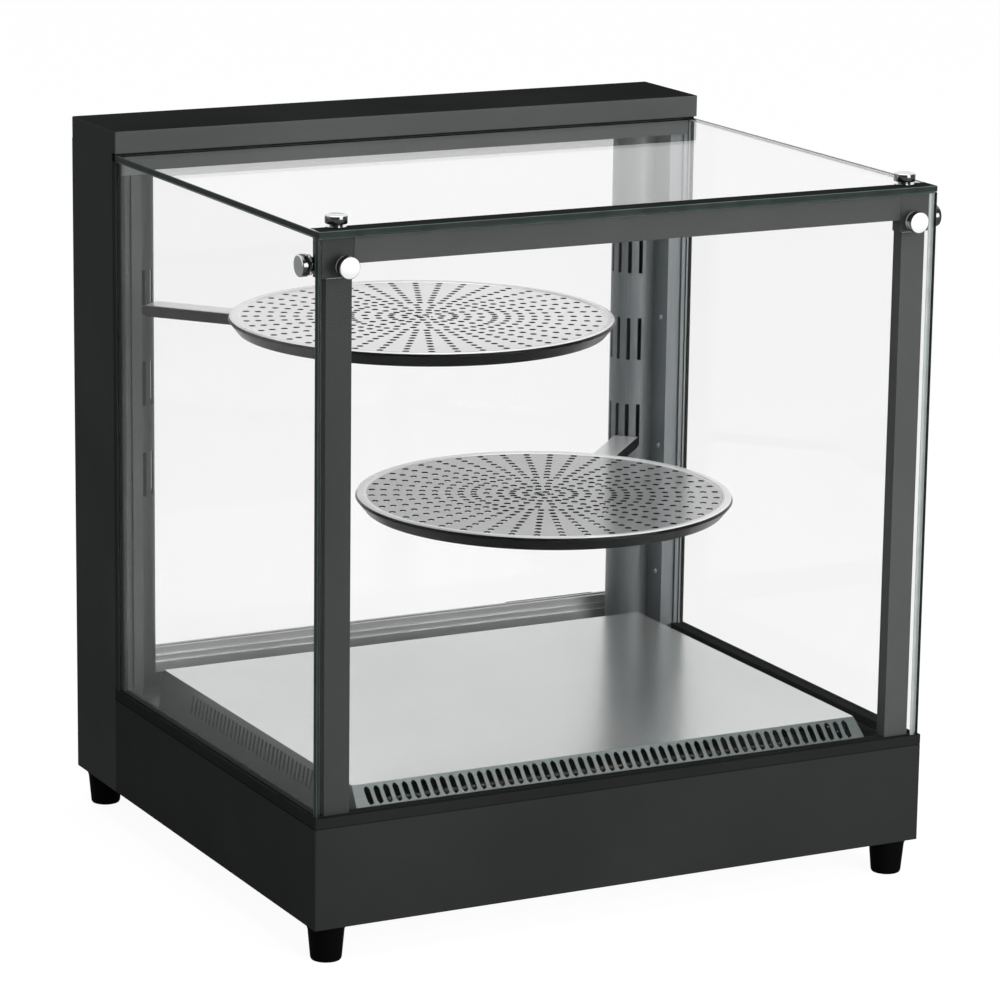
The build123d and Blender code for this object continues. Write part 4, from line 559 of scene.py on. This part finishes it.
def pierced_plate(name, node, turned):
    """A whole plate: pierced floor, bead and skirt, with its sheet's thickness."""
    spot, radius, height = plate_spots[node]
    mesh = bmesh.new()
    for ring, count in enumerate(HOLES_IN_RING):
        middle = FIRST_RING + RING_PITCH * ring
        near = max(middle - RING_PITCH / 2, HUB)
        far = min(middle + RING_PITCH / 2, FLOOR_EDGE)
        one = bmesh.new()
        cell(one, near, far, math.tau / count, BORDER_STEPS // count, PLATE_HOLE)
        bmesh.ops.spin(one, geom=list(one.faces) + list(one.edges) + list(one.verts),
                       cent=(0, 0, 0), axis=(0, 0, 1), angle=math.tau * (count - 1) / count,
                       steps=count - 1, use_duplicate=True)
        join(mesh, one)
    bmesh.ops.remove_doubles(mesh, verts=mesh.verts, dist=WELD)
    bmesh.ops.rotate(mesh, verts=mesh.verts, cent=(0, 0, 0),
                     matrix=Matrix.Rotation(math.radians(turned), 3, "Z"))
    hub = [edge for edge in mesh.edges if edge.is_boundary
           and max(v.co.length for v in edge.verts) < HUB + 2e-4]
    bmesh.ops.contextual_create(mesh, geom=hub)
    edge_radius = max(v.co.length for v in mesh.verts)
    rim = [edge for edge in mesh.edges if edge.is_boundary
           and min(v.co.length for v in edge.verts) > edge_radius - 1e-4]
    for reach, rise in BEAD + [(radius, -LIP_DROP), (SKIRT_FOOT, BEAD_TOP - height)]:
        grown = bmesh.ops.extrude_edge_only(mesh, edges=rim)
        verts = [g for g in grown["geom"] if isinstance(g, bmesh.types.BMVert)]
        rim = [g for g in grown["geom"] if isinstance(g, bmesh.types.BMEdge)]
        for vert in verts:
            flat = Vector((vert.co.x, vert.co.y, 0)).normalized() * reach
            vert.co = (flat.x, flat.y, rise)
    bmesh.ops.recalc_face_normals(mesh, faces=mesh.faces)
    mesh.faces.ensure_lookup_table()
    if max(mesh.faces, key=lambda f: f.calc_area()).normal.z < 0:
        bmesh.ops.reverse_faces(mesh, faces=mesh.faces)
    bmesh.ops.solidify(mesh, geom=list(mesh.faces), thickness=PLATE_SHEET)
    # hole walls and skirt take painted shade, and the bead takes a painted highlight
    for face in mesh.faces:
        reach = face.calc_center_median().xy.length
        if reach < FLOOR_EDGE and abs(face.normal.z) < SLOPING:
            face.material_index = 1
        elif reach > SKIRT_FROM and face.normal.z < SLOPING:
            face.material_index = 2
        elif reach > FLOOR_EDGE:
            face.material_index = 3
    low = min(v.co.z for v in mesh.verts)
    bmesh.ops.translate(mesh, verts=mesh.verts, vec=spot - Vector((0, 0, low)))
    return new_piece(name, mesh)


plates = {}
for name, node, body, turned in (("pierced_plate_upper", "plate_upper", "upper_plate", -3.2),
                                 ("pierced_plate_lower", "plate_lower", "lower_plate", -1.4)):
    plates[name] = pierced_plate(name, node, turned)
    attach(plates[name], body)
    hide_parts(node)

# %% [markdown]
# Spun aluminium keeps the rings that the tool leaves as the sheet turns. A wave of rings
# about the plate's own axis draws them, centred there by a Mapping node. The upper floor is
# painted much lighter than the lower as painted light, the walls of the holes and the skirt
# take painted shade, and the bead takes a painted highlight.

# %% Spun aluminium
GROOVE = 0.0009              # m, from one ring to the next


def spun(name, centre, dark, light, roughness, metallic=1.0):
    """Aluminium turned about a vertical axis."""
    material, tree, place = blank(name)
    centred = add(tree, "ShaderNodeMapping",
                  {"Vector": place, "Location": (-centre.x, -centre.y, -centre.z)})
    grooves = add(tree, "ShaderNodeTexWave",
                  {"Vector": centred.outputs["Vector"], "Scale": math.tau / 20 / GROOVE,
                   "Distortion": 1.5, "Detail": 2.0, "Detail Scale": 0.5},
                  wave_type="RINGS", rings_direction="Z").outputs["Fac"]
    both = blend(tree, 0.6, grooves, noise(tree, place, 0.05, 3.0))
    principled(tree, {"Base Color": ramp(tree, both, dark, light, 0.2, 0.8),
                      "Roughness": spread(tree, both, roughness, 0.05),
                      "Normal": relief(tree, grooves, 0.05, 0.0001), "Metallic": metallic})
    return material


# the upper plate's floor is painted much lighter than the lower's, as painted light
for name, node, dark, light, metallic in (
        ("pierced_plate_upper", "plate_upper", "#fafafa", "#fdfdfd", 0.1),
        ("pierced_plate_lower", "plate_lower", "#b4b5b5", "#c0c1c1", 0.3)):
    centre = plate_spots[node][0]
    for finish in (spun("spun_aluminium_painted_light_level_" + node[6:], centre, dark, light, 0.2, metallic),
                   spun("hole_wall_painted_shade_" + node[6:], centre, "#181919", "#212222", 0.5),
                   spun("skirt_painted_shade_" + node[6:], centre, "#1a1b1b", "#242525", 0.34),
                   spun("rolled_bead_painted_highlight_" + node[6:], centre, "#f6f6f6", "#fbfbfb", 0.25, 0.3)):
        plates[name].data.materials.append(finish)
        print(name, "wears", finish.name)

# %% [markdown]
# Three chrome knobs at each front corner clamp the panes to a block inside. Each is turned
# from brass and plated: a thin washer, a short neck and a cap with softened edges. Its
# outline is spun about its axis, which is how a lathe makes it, so the cap is truly round
# and its edges catch the light. One mesh is then copied to the six places.

# %% Spin a profile about an axis
CREASE = math.radians(32)    # corners sharper than this stay sharp


def turned_shape(profile, closed=False, steps=48):
    """A bmesh of a (radius, height) profile in millimetres, spun about Z."""
    mesh = bmesh.new()
    verts = [mesh.verts.new((radius / 1000, 0, height / 1000)) for radius, height in profile]
    edges = [mesh.edges.new(pair) for pair in zip(verts, verts[1:])]
    if closed:
        edges.append(mesh.edges.new((verts[-1], verts[0])))
    bmesh.ops.spin(mesh, geom=verts + edges, cent=(0, 0, 0), axis=(0, 0, 1), angle=math.tau,
                   steps=steps, use_merge=True)
    bmesh.ops.remove_doubles(mesh, verts=mesh.verts, dist=1e-6)
    bmesh.ops.recalc_face_normals(mesh, faces=mesh.faces)
    return mesh


def gather(name, mesh, places, *materials):
    """One object from copies of a bmesh at the given places, smooth but for its corners."""
    whole = bmesh.new()
    for place in places:
        copied = mesh.copy()
        copied.transform(place)
        join(whole, copied)
    mesh.free()
    piece = new_piece(name, whole, *materials)
    piece.data.shade_smooth()
    piece.data.set_sharp_from_angle(angle=CREASE)
    return piece


# %% Chrome knobs
KNOB_SIDE, KNOB_BACK, KNOB_DROP = 0.030, 0.022, 0.034
base_low, base_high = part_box("base_housing")
front_low, front_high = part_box("front_glass")
roof_low, roof_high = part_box("roof_glass")
knob_y = base_low.y + KNOB_BACK
knob_z = roof_high.z - KNOB_DROP
knob_places = []
for side in (-1, 1):
    knob_x = side * (base_high.x - KNOB_SIDE)
    knob_places += [
        Matrix.Translation((knob_x, front_low.y, knob_z)) @ Matrix.Rotation(math.pi / 2, 4, "X"),
        Matrix.Translation((side * front_high.x, knob_y, knob_z))
        @ Matrix.Rotation(side * math.pi / 2, 4, "Y"),
        Matrix.Translation((knob_x, knob_y, roof_high.z))]
knob_outline = [(0, -14.3), (3, -14.3), (3, 0), (10, 0), (10, 1), (6.5, 1), (6.5, 3.5), (9.8, 3.5),
                (10.6, 3.8), (11, 4.6), (11, 10.5), (10.8, 11.3), (10.2, 11.8), (9.4, 12), (0, 12)]
knobs = gather("turned_knobs", turned_shape(knob_outline), knob_places,
               chrome, chrome_shaded_side, chrome_lit_face)
faces_each = len(knobs.data.polygons) // len(knob_places)
# each knob's sides take painted shade and the front knobs' faces take a painted highlight
for face in knobs.data.polygons:
    axis = (1, 0, 2)[face.index // faces_each % 3]
    if abs(face.normal[axis]) < SLOPING:
        face.material_index = 1
    elif axis == 1 and face.normal.y < -FLAT:
        face.material_index = 2
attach(knobs, "case")
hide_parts("glass_knobs")

# %% [markdown]
# Inside each corner a block holds the three studs, behind the black border. The solid is
# a plain box. The real one is slim enough to hide behind its knobs, so it is drawn as
# a pad as thick as the border and an arm for each of the other two studs.

# %% Corner clamps
CLAMP_HALF = 0.00625         # half the width of an arm
CLAMP_GAP = Vector((0.0003, 0.0003, 0.0003))
for side, word in ((-1, "left"), (1, "right")):
    pad_low, pad_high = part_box("corner_block_" + word)
    pad_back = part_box("border_post_" + word)[1].y
    stud = Vector((side * (base_high.x - KNOB_SIDE), knob_y, knob_z))
    near, far = stud - Vector([CLAMP_HALF] * 3), stud + Vector([CLAMP_HALF] * 3)
    pane_x = pad_low.x if side < 0 else pad_high.x
    reach = sorted((pane_x, stud.x + side * CLAMP_HALF))
    blocks = [(pad_low, Vector((pad_high.x, pad_back, pad_high.z))),
              (Vector((near.x, pad_back, near.z)), Vector((far.x, far.y, pad_high.z))),
              (Vector((reach[0], near.y, near.z)), Vector((reach[1], far.y, far.z)))]
    mesh = bmesh.new()
    for low, high in blocks:
        corners = bmesh.ops.create_cube(mesh, size=1)["verts"]
        bmesh.ops.scale(mesh, verts=corners, vec=high - low - CLAMP_GAP)
        bmesh.ops.translate(mesh, verts=corners, vec=(low + high) / 2)
    clamp = new_piece("corner_clamp_" + word, mesh, black_border if side < 0 else lit_border)
    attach(clamp, "case")
    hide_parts("corner_block_" + word)

# %% [markdown]
# The panes' black border is fired-on enamel. On the front pane the solid shows it as a
# rail and two posts, and on the roof it is only a strip of ink along the front edge, so
# it is one thin flat piece laid on the glass.

# %% Enamel strip on the roof
STRIP_DEPTH, STRIP_PROUD = 0.021, 0.0002
STRIP_ENDS, STRIP_BACK = 0.004, 0.001
mesh = bmesh.new()
bmesh.ops.create_cube(mesh, size=1)
bmesh.ops.scale(mesh, verts=mesh.verts,
                vec=(roof_high.x - roof_low.x - STRIP_ENDS, STRIP_DEPTH, STRIP_PROUD))
bmesh.ops.translate(mesh, verts=mesh.verts, vec=(
    0, roof_low.y + STRIP_BACK + STRIP_DEPTH / 2, roof_high.z + STRIP_PROUD / 2))
roof_strip = new_piece("roof_border_strip", mesh, black_trim_and_top_shade)
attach(roof_strip, "case")

# %% [markdown]
# The four feet are moulded rubber cones, wide at the case and narrow at the counter, with
# a sunk hole in the sole for the screw. They are a spun profile too. Moulded rubber has
# no sharp corner, so every corner of the outline is broken by a short step.

# %% Rubber feet
FOOT_INSET = 0.023
foot_outline = [(3.2, 8), (6.5, 8), (6.5, 0.6), (7.1, 0), (13.2, 0), (14.6, 0.5), (15.3, 1.6),
                (15.7, 3.5), (18.2, 31), (18.5, 32.2), (19, 33), (19, 37.4), (18.6, 38), (3.2, 38)]
foot_places = [Matrix.Translation((side * (base_high.x - FOOT_INSET), y, 0)) for side in (-1, 1)
               for y in (base_low.y + FOOT_INSET, base_high.y - FOOT_INSET)]
feet = gather("moulded_feet", turned_shape(foot_outline, closed=True), foot_places, foot_rubber)
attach(feet, "case")
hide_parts("rubber_feet")

# %% [markdown]
# The thermostat's dial turns in front of a printed scale. The real print is a thin layer
# of ink, so each figure is a flat text made into a mesh and set a tenth of a millimetre
# off the panel. Plain degrees and a row of ticks are all it needs.

# %% Printed scale
SCALE_R, FIGURE, PROUD = 0.0262, 0.0048, 0.0001
SCALE_START, SCALE_SWEEP = 225, 270
SCALE_MARKS = [(0, "0"), (54, "30"), (108, "50"), (162, "70"), (216, "90"), (270, "110")]
TICKS, TICKS_PER_MARK = 25, 5
TICK_R, TICK_WIDE, TICK_SHORT, TICK_LONG = 0.0212, 0.0004, 0.0011, 0.0016
FACING_BACK = Matrix(((-1, 0, 0), (0, 0, 1), (0, 1, 0))).to_4x4()
dial_low, dial_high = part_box("thermostat_dial")
dial_x, dial_z = (dial_low.x + dial_high.x) / 2, (dial_low.z + dial_high.z) / 2
panel_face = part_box("control_panel")[1].y


def on_scale(bearing, radius):
    """The place of a print at a bearing, with the print's own axes turned to the back."""
    # seen from behind, +X lies to the left, so the print's own X runs along -X
    return Matrix.Translation((dial_x - radius * math.cos(bearing), panel_face + PROUD,
                               dial_z + radius * math.sin(bearing))) @ FACING_BACK


def printed(text, size, place):
    """Mesh of a flat figure, centred on its place."""
    curve = bpy.data.curves.new("figure", "FONT")
    curve.body, curve.size = text, size
    curve.align_x, curve.align_y = "CENTER", "CENTER"
    holder = bpy.data.objects.new("figure", curve)
    bpy.context.scene.collection.objects.link(holder)
    bpy.context.view_layer.update()
    flat = bpy.data.meshes.new_from_object(holder.evaluated_get(
        bpy.context.evaluated_depsgraph_get()))
    bpy.data.objects.remove(holder)
    bpy.data.curves.remove(curve)
    flat.transform(place)
    return flat


scale = bmesh.new()
for turn, text in SCALE_MARKS:
    figure = printed(text, FIGURE, on_scale(math.radians(SCALE_START - turn), SCALE_R))
    scale.from_mesh(figure)
    bpy.data.meshes.remove(figure)
for step in range(TICKS + 1):
    bearing = math.radians(SCALE_START - step * SCALE_SWEEP / TICKS)
    length = TICK_SHORT if step % TICKS_PER_MARK else TICK_LONG
    tick = bmesh.new()
    bmesh.ops.create_grid(tick, x_segments=1, y_segments=1, size=0.5)
    bmesh.ops.scale(tick, verts=tick.verts, vec=(length, TICK_WIDE, 1))
    tick.transform(on_scale(bearing, TICK_R) @ Matrix.Rotation(bearing, 4, "Z"))
    join(scale, tick)
dial_scale = new_piece("dial_scale", scale, ink)
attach(dial_scale, "case")

# %% [markdown]
# The floor is plain and pale, and stands for the white sweep under the case. Seen
# directly it glows a little under the case's soft shadow, so it is as white as the paper
# of the picture. Metal mirrors it as a dim grey, and soft light finds it matt.

# %% Lay the floor
FLOOR_HALF = 12.0
PAPER_GLOW, MIRRORED_GLOW = 0.94, 0.3
mesh = bmesh.new()
bmesh.ops.create_grid(mesh, x_segments=1, y_segments=1, size=FLOOR_HALF)
floor = new_piece("studio_floor", mesh)

paper, tree, _ = blank("studio_floor_paper")
matt = add(tree, "ShaderNodeBsdfDiffuse", {"Color": linear("#e6e6e6")})
faint = add(tree, "ShaderNodeBsdfDiffuse", {"Color": linear("#707070")})
glow = add(tree, "ShaderNodeEmission", {"Color": linear("#ffffff"), "Strength": PAPER_GLOW})
shown = add(tree, "ShaderNodeAddShader", {0: faint.outputs["BSDF"], 1: glow.outputs["Emission"]})
dim = add(tree, "ShaderNodeEmission", {"Color": linear("#ffffff"), "Strength": MIRRORED_GLOW})
ray = add(tree, "ShaderNodeLightPath")
seen = add(tree, "ShaderNodeMath", {0: ray.outputs["Is Camera Ray"],
                                    1: ray.outputs["Is Transmission Ray"]}, operation="MAXIMUM")
bounced = add(tree, "ShaderNodeMixShader", {"Fac": ray.outputs["Is Glossy Ray"],
                                            1: matt.outputs["BSDF"], 2: dim.outputs["Emission"]})
paper_look = add(tree, "ShaderNodeMixShader", {"Fac": seen.outputs["Value"],
                                               1: bounced.outputs["Shader"],
                                               2: shown.outputs["Shader"]})
close(tree, paper_look.outputs["Shader"])
floor.data.materials.append(paper)
print("floor:", FLOOR_HALF * 2, "m wide")

# %% [markdown]
# The world is white where the camera looks at it, also through a pane, and dim for soft
# light, so that it fills the shadows without washing out the black steel. Anything that
# mirrors sees a room instead. It is bright at the back and dark behind the camera, as in
# a studio, which gives the mirrored metal dark fronts and light tops, added to the painted shade
# and painted light of its copies above.

# %% Fill the world
FILL = 0.32
DARKEST, BRIGHTEST = 0.12, 1.0
DARK_UNTIL, BRIGHT_FROM = -0.35, 0.15        # the Y of the direction looked in
world = bpy.data.worlds.new("studio_world")
world.use_nodes = True
bpy.context.scene.world = world
tree = world.node_tree
tree.nodes.clear()
ray = add(tree, "ShaderNodeLightPath")
heading = add(tree, "ShaderNodeTexCoord").outputs["Generated"]
split = add(tree, "ShaderNodeSeparateXYZ", {"Vector": heading})
brightness = add(tree, "ShaderNodeMapRange",
                 {"Value": split.outputs["Y"], "From Min": DARK_UNTIL, "From Max": BRIGHT_FROM,
                  "To Min": DARKEST, "To Max": BRIGHTEST}).outputs["Result"]
white, room, fill = (
    add(tree, "ShaderNodeBackground",
        {"Color": linear("#ffffff"), "Strength": strength}).outputs["Background"]
    for strength in (1.0, brightness, FILL))
after_mirror = add(tree, "ShaderNodeMath", {0: ray.outputs["Glossy Depth"], 1: 0.5},
                   operation="GREATER_THAN").outputs["Value"]
mirrored = add(tree, "ShaderNodeMixShader", {"Fac": after_mirror, 1: fill, 2: room})
looked_at = add(tree, "ShaderNodeMath", {0: ray.outputs["Is Camera Ray"],
                                         1: ray.outputs["Is Transmission Ray"]},
                operation="MAXIMUM")
direct = add(tree, "ShaderNodeMath", {0: looked_at.outputs["Value"], 1: after_mirror},
             operation="SUBTRACT", use_clamp=True)
whole = add(tree, "ShaderNodeMixShader", {"Fac": direct.outputs["Value"],
                                          1: mirrored.outputs["Shader"], 2: white})
close(tree, whole.outputs["Shader"], "ShaderNodeOutputWorld")
print("world:", world.name)

# %% [markdown]
# Two soft boxes light the case: a large one in front on the right, a little above the
# case, which makes the fronts lighter than the left side, and a weak one overhead for
# the deck and the plates.

# %% Hang the lamps
LIT_POINT = Vector((0, 0, 0.4))


def soft_box(name, at, size, watts):
    """A square area lamp that faces the middle of the case."""
    lamp = bpy.data.lights.new(name, "AREA")
    lamp.shape = "SQUARE"
    lamp.size = size
    lamp.energy = watts
    holder = bpy.data.objects.new(name, lamp)
    bpy.context.scene.collection.objects.link(holder)
    holder.location = at
    holder.rotation_euler = (LIT_POINT - Vector(at)).to_track_quat("-Z", "Y").to_euler()
    print(f"{name}: {watts} W, {size} m, at {at}")


soft_box("key_box", at=(1.1, -3.1, 1.2), size=1.8, watts=66)
soft_box("top_box", at=(0.0, -0.2, 2.4), size=2.0, watts=20)
bpy.context.scene.view_settings.view_transform = "Standard"
